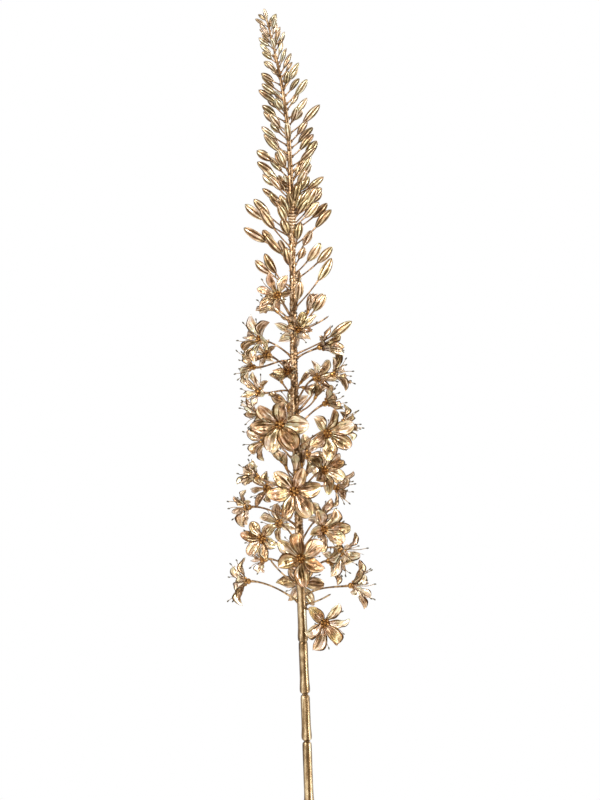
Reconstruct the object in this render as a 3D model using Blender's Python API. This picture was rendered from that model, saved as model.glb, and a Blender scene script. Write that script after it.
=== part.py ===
# A gilded foxtail lily spike that stands in a plain bottle vase.
# The tables are in millimetres and degrees, and Blender's own units are metres.
# X points right in front, Y away from the viewer and Z up. The origin is the middle of the vase's foot.

import math
import random
from collections import namedtuple
from functools import partial

import bmesh
import bpy
import numpy as np
from mathutils import Vector, kdtree

MM = 0.001

# Finishes: base colour, metallic value, roughness
GILT_PETAL = ((0.72, 0.52, 0.31, 1.0), 0.9, 0.32)
GILT_STEM = ((0.60, 0.40, 0.20, 1.0), 0.9, 0.30)
GLAZE = ((0.86, 0.84, 0.79, 1.0), 0.0, 0.35)

# The vase, turned about Z: radius and height, up the outside and down the inside
VASE_FLOOR = 6.5
NECK_BORE = 7.5
VASE_SIDES = 24
VASE_OUTSIDE = (
    (0, 0), (37, 0), (40, 3), (48, 35), (51, 75), (47, 118), (33, 158), (19, 192), (12.8, 225), (12.6, 250),
    (16, 268.5),
)
VASE_INSIDE = (
    (14.5, 270), (10, 262), (NECK_BORE, 248), (8.6, 225), (14, 192), (28, 158), (42, 118), (46, 75), (40, 16),
    (31, VASE_FLOOR), (0, VASE_FLOOR),
)

# The stem's centre line, from its foot on the vase's floor to the tip of the spike
STEM_FOOT = VASE_FLOOR + 0.3
STEM_TIP = 1085
STEM_LINE = (
    (6.2, 0, STEM_FOOT), (-4.9, 0, 300), (-12.4, 0, 500), (-19.3, 0, 700), (-21.6, 0, 850),
    (-24.6, 0, 950), (-30.5, 0, 1005), (-38.5, -1, 1045), (-48.5, -3, STEM_TIP),
)
STEM_RADII = (
    (STEM_FOOT, 4.2), (500, 4.1), (520, 3.7), (760, 3.4), (850, 2.9), (960, 2.1), (1040, 1.3),
    (STEM_TIP, 0.8),
)
STEM_SIDES = 9
STEM_RINGS = (*np.linspace(STEM_FOOT, 850, 13), *np.linspace(880, 1070, 9))
JOINTS = (291, 359, 406, 458.5)
JOINT_RINGS = ((-1.6, 0.92), (0, 0.74), (1.6, 1.02), (6, 1.09))  # height over the groove, share of the radius
COLLAR = 514
COLLAR_RINGS = ((-3, 1.0), (0, 1.28), (5, 1.22), (8, 0.98))
MARK_SPACE = 8  # a plain ring is left out where a groove or the collar is nearer

# The flowers: where the middle of each one is, which way it faces, and where its stalk leaves the stem.
# turn is 0 towards the viewer and 90 to the right; tilt is up; lift closes the petals; spin turns them.
Bloom = namedtuple("Bloom", "x depth z turn tilt petal lift spin root")
BLOOMS = (
    Bloom(-34, -33, 676, -4, -12, 31, 0, 7, 648),
    Bloom(-20, -36, 610, 0, -8, 29, 2, 10, 584),
    Bloom(-13, -34, 543, 0, 8, 28, 4, 30, 520),
    Bloom(12, -23, 667, 32, -4, 27, 2, 30, 640),
    Bloom(-16, -25, 768, 6, 34, 22, 18, 20, 750),
    Bloom(-36, -24, 803, -24, 22, 22, 14, 52, 780),
    Bloom(-53, -14, 760, -52, 8, 24, 6, 40, 741),
    Bloom(9, -17, 630, 28, 6, 24, 4, 34, 606),
    Bloom(9, -20, 571, 30, 4, 24, 8, 8, 548),
    Bloom(-51, -18, 562, -22, -4, 22, 4, 50, 540),
    Bloom(10, -25, 479, 16, -14, 23, 2, 12, 489),
    Bloom(-67, -6, 519, -80, -2, 21, 2, 85, 495),
    Bloom(38, -6, 515, 78, 8, 21, 6, 80, 502),
    Bloom(-66, -12, 593, -62, -8, 20, 6, 20, 572),
    Bloom(-58, -8, 624, -64, 26, 20, 14, 60, 602),
    Bloom(27, -6, 549, 62, -34, 21, -6, 70, 536),
    Bloom(-62, -2, 733, -78, 8, 20, 4, 80, 736),
    Bloom(-54, -12, 708, -46, 12, 20, 10, 36, 706),
    Bloom(20, -4, 726, 74, 24, 21, 8, 16, 686),
    Bloom(7, -12, 753, 62, 18, 19, 26, 50, 739),
    Bloom(12, 2, 697, 84, 28, 19, 22, 12, 672),
    Bloom(-55, 2, 686, -92, -20, 20, 2, 70, 664),
    Bloom(28, 12, 676, 104, 12, 20, 12, 40, 650),
    Bloom(-50, 18, 659, -122, -4, 21, 6, 20, 636),
    Bloom(22, 10, 612, 98, -18, 21, 4, 30, 600),
    Bloom(-46, 20, 611, -132, 4, 20, 8, 50, 590),
    Bloom(-13, 26, 514, 176, 4, 24, 2, 0, 492),
    Bloom(-34, 26, 575, -154, 6, 22, 4, 25, 553),
    Bloom(6, 26, 580, 146, 8, 22, 6, 45, 556),
    Bloom(-8, 28, 645, 162, 2, 23, 4, 15, 622),
    Bloom(-24, 29, 692, -172, 10, 22, 4, 35, 668),
    Bloom(2, 25, 722, 138, 14, 21, 10, 5, 696),
    Bloom(-46, 18, 745, -128, 16, 21, 8, 30, 722),
    Bloom(-20, 27, 765, 174, 22, 21, 14, 22, 742),
    Bloom(-50, 14, 540, -112, -6, 21, 6, 65, 520),
    Bloom(16, 18, 538, 122, -4, 22, 4, 12, 512),
    Bloom(-26, -22, 727, -8, 14, 16, 34, 5, 712),
    Bloom(-40, 14, 793, -118, 30, 19, 24, 10, 776),
)

# A petal: an arc that rises from the flower's middle, is widest past its own and turns out at its tip
PETALS = 6
PETAL_RISE = 48  # its slope where it leaves the middle, and at its tip
PETAL_FALL = -14
ROOT_FOLLOWS = (0.5, 0.6)  # how much of the flower's lift and of its own bend a petal shows where it leaves
PETAL_ROOT = (1.7, -0.9)  # distance out from the flower's axis, and along it
PETAL_WIDTH = (5.6, 0.27)  # of the smallest, and what it gains with the length
PETAL_SKEW = 1.36
PETAL_FULLNESS = 0.9
PETAL_CUP = 0.26
PETAL_KEEL = 0.8
PETAL_STATIONS = (0.24, 0.56, 0.85)
PETAL_WHORLS = (-4, 5)  # every other petal stands a little higher
PETAL_VARIES = (3, 6, (0.93, 1.05))  # angle, bend and share of the length
# The cup that the petals grow from, as radius and place along the flower's axis, and the stalk behind it
CUP = ((1.6, -4.4), (3.1, -0.6), (0, 2.2))
CUP_SIDES = 6
CUP_GAP = 0.3
STALK_RADIUS = 1.05
STALK_SIDES = 4
STALK_STEPS = 3
STALK_LEAVES = 49  # from upright, where it leaves the stem
STALK_PULLS = (0.4, 0.35, 12)  # how far each end keeps its course: shares of the reach, the last at most 12
STAMENS_IN_SOURCE = (0, 2, 4)
STAMEN_FOOT = 0.9
STAMEN_LEAN = 44  # from the flower's axis
STAMEN_CLOSES = 0.6  # of the flower's lift
STAMEN_REACH = 0.86  # of a petal's length
STAMEN_RADIUS = 0.6
STAMEN_SIDES = 3
STAMEN_HEAD = (0.92, 1.5)  # share of the length where the head is widest, and times the radius there
STAMEN_VARIES = (9, 16, (0.85, 1.1))
FLOWER_SEED = 11

# How far petals and stamens stay from their neighbours, and how a crowded one may bend or shrink
CLEARANCE = 2.6
BENDS = (0, 9, -9, 18, -18, 28, -28, 38, 50, -40, 62, 74)
SWEEPS = (0, 7, -7, 13, -13)
LEANS = (0, -12, 12, -24, -36)
SIZES = (1.0, 0.86, 0.72)

# The large lower buds: root height on the stem, turn, stalk, lean from upright, bud length and radius
Bud = namedtuple("Bud", "root turn stalk lean length radius")
LOW_BUDS = (
    Bud(745, 78, 41, 62, 25, 3.4), Bud(768, 66, 30, 45, 19, 3.4), Bud(776, 112, 25, 48, 18, 3.2),
    Bud(790, 88, 38, 38, 24, 3.6), Bud(783, 24, 20, 30, 18, 3.2), Bud(779, -150, 26, 46, 19, 3.2),
    Bud(805, -64, 28, 38, 21, 3.3), Bud(800, 170, 24, 48, 19, 3.2), Bud(812, -106, 26, 55, 20, 3.3),
    Bud(818, 100, 31, 50, 20, 3.2), Bud(824, 58, 22, 48, 21, 3.5), Bud(822, -20, 15, 34, 18, 3.1),
    Bud(831, -158, 25, 50, 19, 3.1), Bud(836, -74, 15, 46, 22, 3.1), Bud(840, 146, 25, 50, 19, 3.1),
    Bud(846, -90, 29, 62, 23, 3.5), Bud(853, 82, 30, 49, 21, 3.0), Bud(848, 14, 13, 22, 16, 3.0),
    Bud(851, -54, 29, 45, 23, 3.5), Bud(860, 180, 22, 48, 19, 3.0), Bud(862, -102, 35, 54, 21, 3.2),
    Bud(868, 94, 25, 53, 18, 3.0), Bud(866, -30, 17, 44, 18, 3.1), Bud(874, 132, 23, 50, 19, 3.0),
    Bud(879, 64, 20, 44, 20, 3.1), Bud(880, -140, 22, 50, 19, 3.0),
)
# The buds above them follow a spiral. Each table gives a measure at shares of the way up from first to last.
SPIRAL_FIRST = 884
SPIRAL_LAST = 1081
SPIRAL_TURN = 137.5
SPIRAL_PITCH = ((0, 3.1), (1, 2.7))
SPIRAL_STALK = ((0, 19), (0.4, 14), (0.7, 8), (1, 2.5))
SPIRAL_LEAN = ((0, 53), (0.6, 50), (0.85, 38), (1, 16))
SPIRAL_LENGTH = ((0, 18.5), (0.4, 17), (0.75, 12), (1, 8))
SPIRAL_RADIUS = ((0, 2.9), (0.4, 2.6), (0.75, 2.0), (1, 1.5))
SPIRAL_VARIES = (10, (0.82, 1.15), 7, (0.9, 1.08), (0.92, 1.08))  # turn, stalk, lean, length and radius
SPIRAL_SEED = 4
BUD_SIDES = 5
SMALL_BUD_SIDES = 4
SMALL_BUD = 2.3  # radius
BUD_SWELLING = ((0.26, 0.84), (0.66, 0.92))  # share of the length, share of the radius
BUD_STALK_RADIUS = 0.85
BUD_STALK_BEND = 6  # half of its turn towards upright
LONG_STALK = 17

Petal = namedtuple("Petal", "angle bend length")
Stamen = namedtuple("Stamen", "angle lean length")
Flower = namedtuple("Flower", "bloom axes petals stamens")


def clear_scene():
    for thing in list(bpy.data.objects):
        bpy.data.objects.remove(thing, do_unlink=True)


def finish_of(name, values):
    """A Principled material with the piece's colour, metallic value and roughness."""
    colour, metallic, roughness = values
    material = bpy.data.materials.new(name)
    material.use_nodes = True
    shader = material.node_tree.nodes["Principled BSDF"]
    shader.inputs["Base Color"].default_value = colour
    shader.inputs["Metallic"].default_value = metallic
    shader.inputs["Roughness"].default_value = roughness
    return material


def at_share(table, share):
    """A measure read from a table of (share, measure) rows."""
    return float(np.interp(share, [row[0] for row in table], [row[1] for row in table]))


def skin(sections):
    """A closed mesh through cross-sections that each hold as many points; a section of one point is a tip."""
    mesh = bmesh.new()
    rows = [[mesh.verts.new(Vector(point) * MM) for point in section] for section in sections]
    for low, high in zip(rows, rows[1:]):
        count = max(len(low), len(high))
        for i in range(count):
            j = (i + 1) % count
            corners = [low[i % len(low)], low[j % len(low)], high[j % len(high)], high[i % len(high)]]
            mesh.faces.new(list(dict.fromkeys(corners)))
    for end in (rows[0], rows[-1]):
        if len(end) > 2:
            mesh.faces.new(end)
    bmesh.ops.recalc_face_normals(mesh, faces=mesh.faces)
    return mesh


def placed(mesh, name, material):
    """Turns a bmesh into an object of the scene, shaded smooth but for its sharp edges."""
    data = bpy.data.meshes.new(name)
    mesh.to_mesh(data)
    mesh.free()
    data.materials.append(material)
    data.shade_smooth()
    data.set_sharp_from_angle(angle=math.radians(50))
    thing = bpy.data.objects.new(name, data)
    bpy.context.scene.collection.objects.link(thing)
    return thing


def fused(name, meshes, material):
    """Joins overlapping closed meshes into one body, with one union on a collection."""
    first = placed(meshes[0], name, material)
    others = [placed(mesh, f"{name} piece", material) for mesh in meshes[1:]]
    group = bpy.data.collections.new(f"{name} pieces")
    bpy.context.scene.collection.children.link(group)
    for other in others:
        bpy.context.scene.collection.objects.unlink(other)
        group.objects.link(other)
    join = first.modifiers.new("join", "BOOLEAN")
    join.operation = "UNION"
    join.operand_type = "COLLECTION"
    join.collection = group
    join.solver = "EXACT"
    whole = bpy.data.meshes.new_from_object(first.evaluated_get(bpy.context.evaluated_depsgraph_get()))
    first.modifiers.clear()
    first.data = whole
    first.data.name = name
    for other in others:
        bpy.data.objects.remove(other, do_unlink=True)
    bpy.data.collections.remove(group)
    return first


def smooth_line(points, steps=12):
    """Points along a Catmull-Rom curve through a list of points."""
    knots = [Vector(p) for p in points]
    knots = [2 * knots[0] - knots[1], *knots, 2 * knots[-1] - knots[-2]]
    line = []
    for a, b, c, d in zip(knots, knots[1:], knots[2:], knots[3:]):
        for t in (step / steps for step in range(steps)):
            bend = (2 * a - 5 * b + 4 * c - d) * t * t + (3 * b - a - 3 * c + d) * t**3
            line.append(0.5 * (2 * b + (c - a) * t + bend))
    return [*line, knots[-2]]


STEM_COURSE = np.array(smooth_line(STEM_LINE))


def stem_at(height):
    """The middle of the stem at a height."""
    x, y = (np.interp(height, STEM_COURSE[:, 2], STEM_COURSE[:, axis]) for axis in (0, 1))
    return Vector((x, y, height))


def stem_direction(height, step=4):
    return (stem_at(min(height + step, STEM_TIP)) - stem_at(height - step)).normalized()


def outwards(height, turn):
    """The direction straight out of the stem; turn is 0 towards the viewer and 90 to the right."""
    angle = math.radians(turn)
    flat = Vector((math.sin(angle), -math.cos(angle), 0))
    along = stem_direction(height)
    return (flat - along * flat.dot(along)).normalized()


def ring(middle, side, front, radius, sides):
    """Points of a circle that starts at side and turns towards front."""
    angles = (2 * math.pi * i / sides for i in range(sides))
    return [middle + (side * math.cos(a) + front * math.sin(a)) * radius for a in angles]


def tube(path, radii, sides, arrival=None):
    """Cross-sections along a path, carried without twist, the last one square to arrival where that is given.

    A last radius of 0 makes a tip.
    """
    ends = [path[0], *path, path[-1]]
    courses = [(after - before).normalized() for before, after in zip(ends, ends[2:])]
    if arrival:
        courses[-1] = arrival
    side = courses[0].orthogonal().normalized()
    sections = []
    for i, (point, course, radius) in enumerate(zip(path, courses, radii)):
        if i:
            side = courses[i - 1].rotation_difference(course) @ side
        sections.append(ring(point, side, course.cross(side), radius, sides) if radius else [point])
    return sections


def vase_mesh():
    """The bottle, spun from its profile, with an even wall and a flat foot."""
    mesh = bmesh.new()
    outline = (*VASE_OUTSIDE, *VASE_INSIDE)
    profile = [mesh.verts.new((radius * MM, 0, height * MM)) for radius, height in outline]
    edges = [mesh.edges.new(pair) for pair in zip(profile, profile[1:])]
    bmesh.ops.spin(
        mesh, geom=[*profile, *edges], cent=(0, 0, 0), axis=(0, 0, 1), dvec=(0, 0, 0),
        angle=2 * math.pi, steps=VASE_SIDES, use_merge=True,
    )
    bmesh.ops.remove_doubles(mesh, verts=mesh.verts, dist=0.00001)
    bmesh.ops.recalc_face_normals(mesh, faces=mesh.faces)
    return mesh


def stem_mesh():
    """The stem, with a groove and a swelling at each joint and a collar under the flowers."""
    marks = {joint + up: share for joint in JOINTS for up, share in JOINT_RINGS}
    marks.update({COLLAR + up: share for up, share in COLLAR_RINGS})
    heights = {z: 1.0 for z in STEM_RINGS if min(abs(z - mark) for mark in marks) > MARK_SPACE}
    heights.update(marks)
    sections = [
        ring(stem_at(z), Vector((1, 0, 0)), Vector((0, 1, 0)), share * at_share(STEM_RADII, z), STEM_SIDES)
        for z, share in sorted(heights.items())
    ]
    return skin([*sections, [stem_at(STEM_TIP)]])


def spiral_buds():
    """The upper buds: a spiral of golden-angle turns, smaller, closer and more upright towards the tip."""
    draw = random.Random(SPIRAL_SEED)
    turn, stalk, lean, length, radius = SPIRAL_VARIES
    buds = []
    height = SPIRAL_FIRST
    while height < SPIRAL_LAST:
        share = (height - SPIRAL_FIRST) / (SPIRAL_LAST - SPIRAL_FIRST)
        buds.append(
            Bud(
                root=height,
                turn=len(buds) * SPIRAL_TURN + draw.uniform(-turn, turn),
                stalk=at_share(SPIRAL_STALK, share) * draw.uniform(*stalk),
                lean=at_share(SPIRAL_LEAN, share) + draw.uniform(-lean, lean),
                length=at_share(SPIRAL_LENGTH, share) * draw.uniform(*length),
                radius=at_share(SPIRAL_RADIUS, share) * draw.uniform(*radius),
            )
        )
        height += at_share(SPIRAL_PITCH, share)
    return buds


def bud_course(bud):
    """The root, middle and end of a bud's stalk, and the direction in which the bud points."""
    root = stem_at(bud.root)
    out, up = outwards(bud.root, bud.turn), stem_direction(bud.root)
    lean, straighter = math.radians(bud.lean + BUD_STALK_BEND), math.radians(bud.lean - BUD_STALK_BEND)
    first = out * math.sin(lean) + up * math.cos(lean)
    then = out * math.sin(straighter) + up * math.cos(straighter)
    middle = root + first * bud.stalk / 2
    return root, middle, middle + (first + then).normalized() * bud.stalk / 2, then


def bud_mesh(bud):
    """A stalk from inside the stem that swells into a pointed bud."""
    root, middle, neck, course = bud_course(bud)
    path = [root, middle, neck] if bud.stalk > LONG_STALK else [root, neck]
    radii = [BUD_STALK_RADIUS] * len(path)
    for share, fullness in BUD_SWELLING:
        path.append(neck + course * bud.length * share)
        radii.append(bud.radius * fullness)
    path.append(neck + course * bud.length)
    return skin(tube(path, [*radii, 0], BUD_SIDES if bud.radius > SMALL_BUD else SMALL_BUD_SIDES))


def middle_of(bloom):
    return Vector((bloom.x, bloom.depth, bloom.z))


def flower_axes(bloom):
    """The flower's right, its up and the way it faces."""
    turn, tilt = math.radians(bloom.turn), math.radians(bloom.tilt)
    face = Vector((math.sin(turn) * math.cos(tilt), -math.cos(turn) * math.cos(tilt), math.sin(tilt)))
    right = Vector((0, 0, 1)).cross(face).normalized()
    return right, face.cross(right), face


def cubic(a, b, c, d, t):
    """A point of the Bezier curve from a to d that b and c pull."""
    return a * (1 - t) ** 3 + b * 3 * t * (1 - t) ** 2 + c * 3 * t**2 * (1 - t) + d * t**3


def stalk_course(bloom, steps):
    """Points of a flower's stalk: out of the stem and up, then round to just short of the cup's back."""
    face = flower_axes(bloom)[2]
    root, end = stem_at(bloom.root), middle_of(bloom) + face * (CUP[0][1] - CUP_GAP)
    reach = (end - root).length
    out = Vector((end.x - root.x, end.y - root.y, 0)).normalized()
    lean = math.radians(STALK_LEAVES)
    leaving, arriving, most = STALK_PULLS
    a = root + (out * math.sin(lean) + Vector((0, 0, 1)) * math.cos(lean)) * reach * leaving
    b = end - face * min(reach * arriving, most)
    return [cubic(root, a, b, end, i / steps) for i in range(steps + 1)]


def petal_point(bloom, axes, petal, share, across, lift=0.0):
    """A point of a petal: share of its length, across from -1 to 1, and lift off its middle surface."""
    right, up, face = axes
    angle = math.radians(petal.angle)
    out = right * math.cos(angle) + up * math.sin(angle)
    sideways = up * math.cos(angle) - right * math.sin(angle)
    rise = math.radians(PETAL_RISE + bloom.lift * ROOT_FOLLOWS[0] + petal.bend * ROOT_FOLLOWS[1])
    curl = math.radians(PETAL_FALL + bloom.lift + petal.bend) - rise
    slope = rise + curl * share
    distance = PETAL_ROOT[0] + petal.length * (math.sin(slope) - math.sin(rise)) / curl
    height = PETAL_ROOT[1] - petal.length * (math.cos(slope) - math.cos(rise)) / curl
    outline = math.sin(math.pi * share**PETAL_SKEW) ** PETAL_FULLNESS if 0 < share < 1 else 0.0
    half_width = (PETAL_WIDTH[0] + PETAL_WIDTH[1] * petal.length) / 2 * outline
    surface = face * math.cos(slope) - out * math.sin(slope)
    raised = surface * (lift + PETAL_CUP * half_width * across * across)
    return middle_of(bloom) + out * distance + face * height + sideways * half_width * across + raised


def stamen_line(bloom, axes, stamen):
    """A filament's foot and its tip."""
    right, up, face = axes
    angle, lean = math.radians(stamen.angle), math.radians(stamen.lean)
    out = right * math.cos(angle) + up * math.sin(angle)
    foot = middle_of(bloom) + out * STAMEN_FOOT
    return foot, foot + (out * math.sin(lean) + face * math.cos(lean)) * stamen.length


# Where petals, stamens and buds are tested for room, as shares of their lengths and widths
PETAL_LENGTH_SAMPLES = (0.3, 0.44, 0.58, 0.72, 0.86, 0.96)
PETAL_WIDTH_SAMPLES = (-1, -0.5, 0, 0.5, 1)
PETAL_SAMPLES = [(share, across) for share in PETAL_LENGTH_SAMPLES for across in PETAL_WIDTH_SAMPLES]
STAMEN_SAMPLES = (0.3, 0.45, 0.6, 0.75, 0.9, 1.0)
BUD_SAMPLES = (0.15, 0.4, 0.65, 0.9)
BUD_RIM_SAMPLES = 4
STALK_SAMPLES = 16
STALK_SAMPLES_INSIDE = 2  # the ones in and next to the stem
OWN_STALK_SAMPLES = 5  # the ones next to the flower, which its own petals may come near


def petal_samples(bloom, axes, petal):
    return [petal_point(bloom, axes, petal, *sample) for sample in PETAL_SAMPLES]


def stamen_samples(bloom, axes, stamen):
    foot, tip = stamen_line(bloom, axes, stamen)
    return [foot.lerp(tip, share) for share in STAMEN_SAMPLES]


def stalk_and_bud_points(buds):
    """Points that the flowers keep clear of: buds, their stalks, and the flowers' stalks and middles."""
    points = []
    for bud in buds:
        root, middle, neck, course = bud_course(bud)
        side = course.orthogonal().normalized()
        for share in BUD_SAMPLES:
            radius = bud.radius * math.sin(math.pi * share) ** 0.5
            heart = neck + course * bud.length * share
            rim = ring(heart, side, course.cross(side), radius, BUD_RIM_SAMPLES)
            points += [("bud", point) for point in (root.lerp(middle, share), middle.lerp(neck, share), *rim)]
    for number, bloom in enumerate(BLOOMS):
        course = stalk_course(bloom, STALK_SAMPLES)
        points += [("stalk", point) for point in course[STALK_SAMPLES_INSIDE:-OWN_STALK_SAMPLES]]
        points += [(number, point) for point in (*course[-OWN_STALK_SAMPLES:], middle_of(bloom))]
    return points


def crowd_of(points):
    """A search tree over (owner, point) pairs, and the owners."""
    tree = kdtree.KDTree(len(points))
    for index, (_, point) in enumerate(points):
        tree.insert(point, index)
    tree.balance()
    return tree, [owner for owner, _ in points]


def room(samples, crowd, owner):
    """How far points are from the stem and from the others' points, where that is under the clearance."""
    tree, owners = crowd
    nearest = CLEARANCE
    for point in samples:
        nearest = min(nearest, (point.xy - stem_at(point.z).xy).length - at_share(STEM_RADII, point.z))
        for _, index, distance in tree.find_range(point, CLEARANCE):
            if owners[index] != owner:
                nearest = min(nearest, distance)
    return nearest


def roomiest(choices, samples_of, crowd, owner):
    """The first choice that is clear of the crowd, or else the one that is furthest from it."""
    best, most = None, -math.inf
    for choice in choices:
        free = room(samples_of(choice), crowd, owner)
        if free > most:
            best, most = choice, free
        if free >= CLEARANCE:
            break
    return best


def varied(draw, spread):
    return draw.uniform(-spread, spread)


def plan_flowers(buds):
    """Settles every petal and stamen. A crowded one bends, swings or shortens until it is clear."""
    points = stalk_and_bud_points(buds)
    flowers = []
    for number, bloom in enumerate(BLOOMS):
        axes = flower_axes(bloom)
        draw = random.Random(FLOWER_SEED + number)
        crowd = crowd_of(points)
        petals, stamens = [], []
        for k in range(PETALS):
            angle, bend, length = PETAL_VARIES
            plain = Petal(
                angle=bloom.spin + 360 * k / PETALS + varied(draw, angle),
                bend=varied(draw, bend) + PETAL_WHORLS[k % 2],
                length=bloom.petal * draw.uniform(*length),
            )
            choices = (
                Petal(plain.angle + sweep, plain.bend + bent, plain.length * size)
                for size in SIZES for bent in BENDS for sweep in SWEEPS
            )
            petals.append(roomiest(choices, partial(petal_samples, bloom, axes), crowd, number))
        for k in range(PETALS):
            angle, lean, length = STAMEN_VARIES
            plain = Stamen(
                angle=bloom.spin + 360 * (k + 0.5) / PETALS + varied(draw, angle),
                lean=STAMEN_LEAN - bloom.lift * STAMEN_CLOSES + varied(draw, lean),
                length=bloom.petal * STAMEN_REACH * draw.uniform(*length),
            )
            choices = (
                Stamen(plain.angle, plain.lean + leant, plain.length * size)
                for size in SIZES for leant in LEANS
            )
            stamens.append(roomiest(choices, partial(stamen_samples, bloom, axes), crowd, number))
        flowers.append(Flower(bloom, axes, petals, stamens))
        points += [(number, point) for petal in petals for point in petal_samples(bloom, axes, petal)]
        points += [(number, point) for stamen in stamens for point in stamen_samples(bloom, axes, stamen)]
    return flowers


def petal_mesh(flower, petal):
    """A boat-shaped blade: thin raised edges over a keel."""
    point = partial(petal_point, flower.bloom, flower.axes, petal)
    sections = [[point(share, -1), point(share, 0, -PETAL_KEEL), point(share, 1)] for share in PETAL_STATIONS]
    return skin([[point(0, 0)], *sections, [point(1, 0)]])


def stamen_mesh(flower, stamen):
    """A filament that thickens to the head at its tip."""
    foot, tip = stamen_line(flower.bloom, flower.axes, stamen)
    share, fullness = STAMEN_HEAD
    radii = [STAMEN_RADIUS, STAMEN_RADIUS * fullness, 0]
    return skin(tube([foot, foot.lerp(tip, share), tip], radii, STAMEN_SIDES))


def cup_mesh(flower):
    """The small cup that the petals grow from, flat at its back where the stalk meets it."""
    right, up, face = flower.axes
    sections = []
    for radius, along in CUP:
        middle = middle_of(flower.bloom) + face * along
        sections.append(ring(middle, right, up, radius, CUP_SIDES) if radius else [middle])
    return skin(sections)


def flower_stalk_mesh(bloom):
    """A stalk from inside the stem to the flower's back."""
    course = stalk_course(bloom, STALK_STEPS)
    return skin(tube(course, [STALK_RADIUS] * len(course), STALK_SIDES, flower_axes(bloom)[2]))


def main():
    clear_scene()
    gilt_petal = finish_of("gilt_petal", GILT_PETAL)
    gilt_stem = finish_of("gilt_stem", GILT_STEM)
    glaze = finish_of("vase_glaze", GLAZE)

    placed(vase_mesh(), "vase", glaze)
    buds = [*LOW_BUDS, *spiral_buds()]
    stalks = [flower_stalk_mesh(bloom) for bloom in BLOOMS]
    fused("flower_stem", [stem_mesh(), *stalks, *[bud_mesh(bud) for bud in buds]], gilt_stem)
    for number, flower in enumerate(plan_flowers(buds), 1):
        petals = [petal_mesh(flower, petal) for petal in flower.petals]
        stamens = [stamen_mesh(flower, flower.stamens[k]) for k in STAMENS_IN_SOURCE]
        fused(f"bloom_{number:02d}", [cup_mesh(flower), *petals, *stamens], gilt_petal)


main()
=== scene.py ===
# %% [markdown]
# # A gilded foxtail lily in a bottle vase
# A foxtail lily carries dozens of star-shaped flowers up one tall stem, and a long tail of buds above them.
# This one is sprayed in bronze gold and stands in a plain glazed bottle. Its finish here paints shade into
# its grooves and highlights onto its ridges. The solids of the imported model come from the same places and
# sizes as this lesson, which builds fine petals, buds, stalks and a vase on them. It does so mostly with
# Geometry Nodes, because each of these shapes follows a rule that can be written as a formula.

# %% Load the imported model
import math
import random
from collections import namedtuple
from functools import partial

import bpy
import numpy as np
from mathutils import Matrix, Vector, kdtree


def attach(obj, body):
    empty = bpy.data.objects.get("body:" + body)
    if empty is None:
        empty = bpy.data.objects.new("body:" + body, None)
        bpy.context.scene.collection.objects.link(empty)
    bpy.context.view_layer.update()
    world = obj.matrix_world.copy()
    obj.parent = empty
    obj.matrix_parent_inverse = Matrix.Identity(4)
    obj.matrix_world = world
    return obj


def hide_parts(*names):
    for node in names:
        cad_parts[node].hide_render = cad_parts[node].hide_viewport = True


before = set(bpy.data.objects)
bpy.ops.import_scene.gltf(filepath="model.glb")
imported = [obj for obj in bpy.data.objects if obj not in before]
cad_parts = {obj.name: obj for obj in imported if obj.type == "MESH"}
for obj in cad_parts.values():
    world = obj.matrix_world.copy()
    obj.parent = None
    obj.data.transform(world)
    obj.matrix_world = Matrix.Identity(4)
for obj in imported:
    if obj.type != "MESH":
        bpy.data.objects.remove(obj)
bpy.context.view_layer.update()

MM = 0.001
FULL_TURN = 2 * math.pi

# %% [markdown]
# ## The studio
# The photograph is taken square on with a long lens, so nothing is seen from above and nothing is bent by
# perspective. A 135 mm lens three metres away does the same. Metal shows what it mirrors, so the light
# matters more than its colour: a bright top, a dimmer horizon and a darker underside give each petal a
# light and a dark side. The camera itself sees plain white.

# %% Camera
CAMERA_PLACE = (-0.014, -3.0, 0.7)
CAMERA_LENS = 135
FILM_WIDTH = 36


def add_camera(place, lens):
    """A level camera that looks along Y."""
    data = bpy.data.cameras.new("camera")
    data.lens = lens
    data.sensor_width = FILM_WIDTH
    data.clip_end = 50
    camera = bpy.data.objects.new("camera", data)
    camera.location = place
    camera.rotation_euler = (math.radians(90), 0, 0)
    bpy.context.scene.collection.objects.link(camera)
    bpy.context.scene.camera = camera
    return camera


camera = add_camera(CAMERA_PLACE, CAMERA_LENS)
bpy.context.scene.view_settings.view_transform = "Standard"
print("The camera is", -camera.location.y, "m in front of the stem")

# %% [markdown]
# ## Formulas as nodes
# Both shapes and finishes below are formulas that Blender works out at every point. Wiring each plus and
# times by hand would hide the formula in a web of boxes. A small class lets plain arithmetic add the Math
# nodes instead, so `a * b + c` reads as it would on paper and still ends up as an ordinary node tree.


# %% Arithmetic that adds nodes
def pick(sockets, key):
    """A node's socket by its number, or the one in use by its name."""
    if isinstance(key, int):
        return sockets[key]
    return next(socket for socket in sockets if socket.name == key and socket.enabled)


def add_node(tree, kind, inputs=(), **settings):
    """Adds a node, with its settings, and feeds its inputs with fields, sockets or plain values."""
    node = tree.nodes.new(kind)
    for key, value in settings.items():
        setattr(node, key, value)
    for key, value in dict(inputs).items():
        socket = pick(node.inputs, key)
        source = value.socket if isinstance(value, Field) else value
        if isinstance(source, bpy.types.NodeSocket):
            tree.links.new(source, socket)
        else:
            socket.default_value = source
    return node


class Field:
    """A number or a vector at every point. Sums and products of fields become Math nodes."""

    def __init__(self, socket):
        self.socket = socket
        self.tree = socket.id_data

    def __add__(self, other):
        return work_out("ADD", self, other)

    def __sub__(self, other):
        return work_out("SUBTRACT", self, other)

    def __rsub__(self, other):
        return work_out("SUBTRACT", other, self)

    def __mul__(self, other):
        return work_out("MULTIPLY", self, other)

    def __truediv__(self, other):
        return work_out("DIVIDE", self, other)

    def __pow__(self, other):
        return work_out("POWER", self, other)

    __radd__ = __add__
    __rmul__ = __mul__


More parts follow.
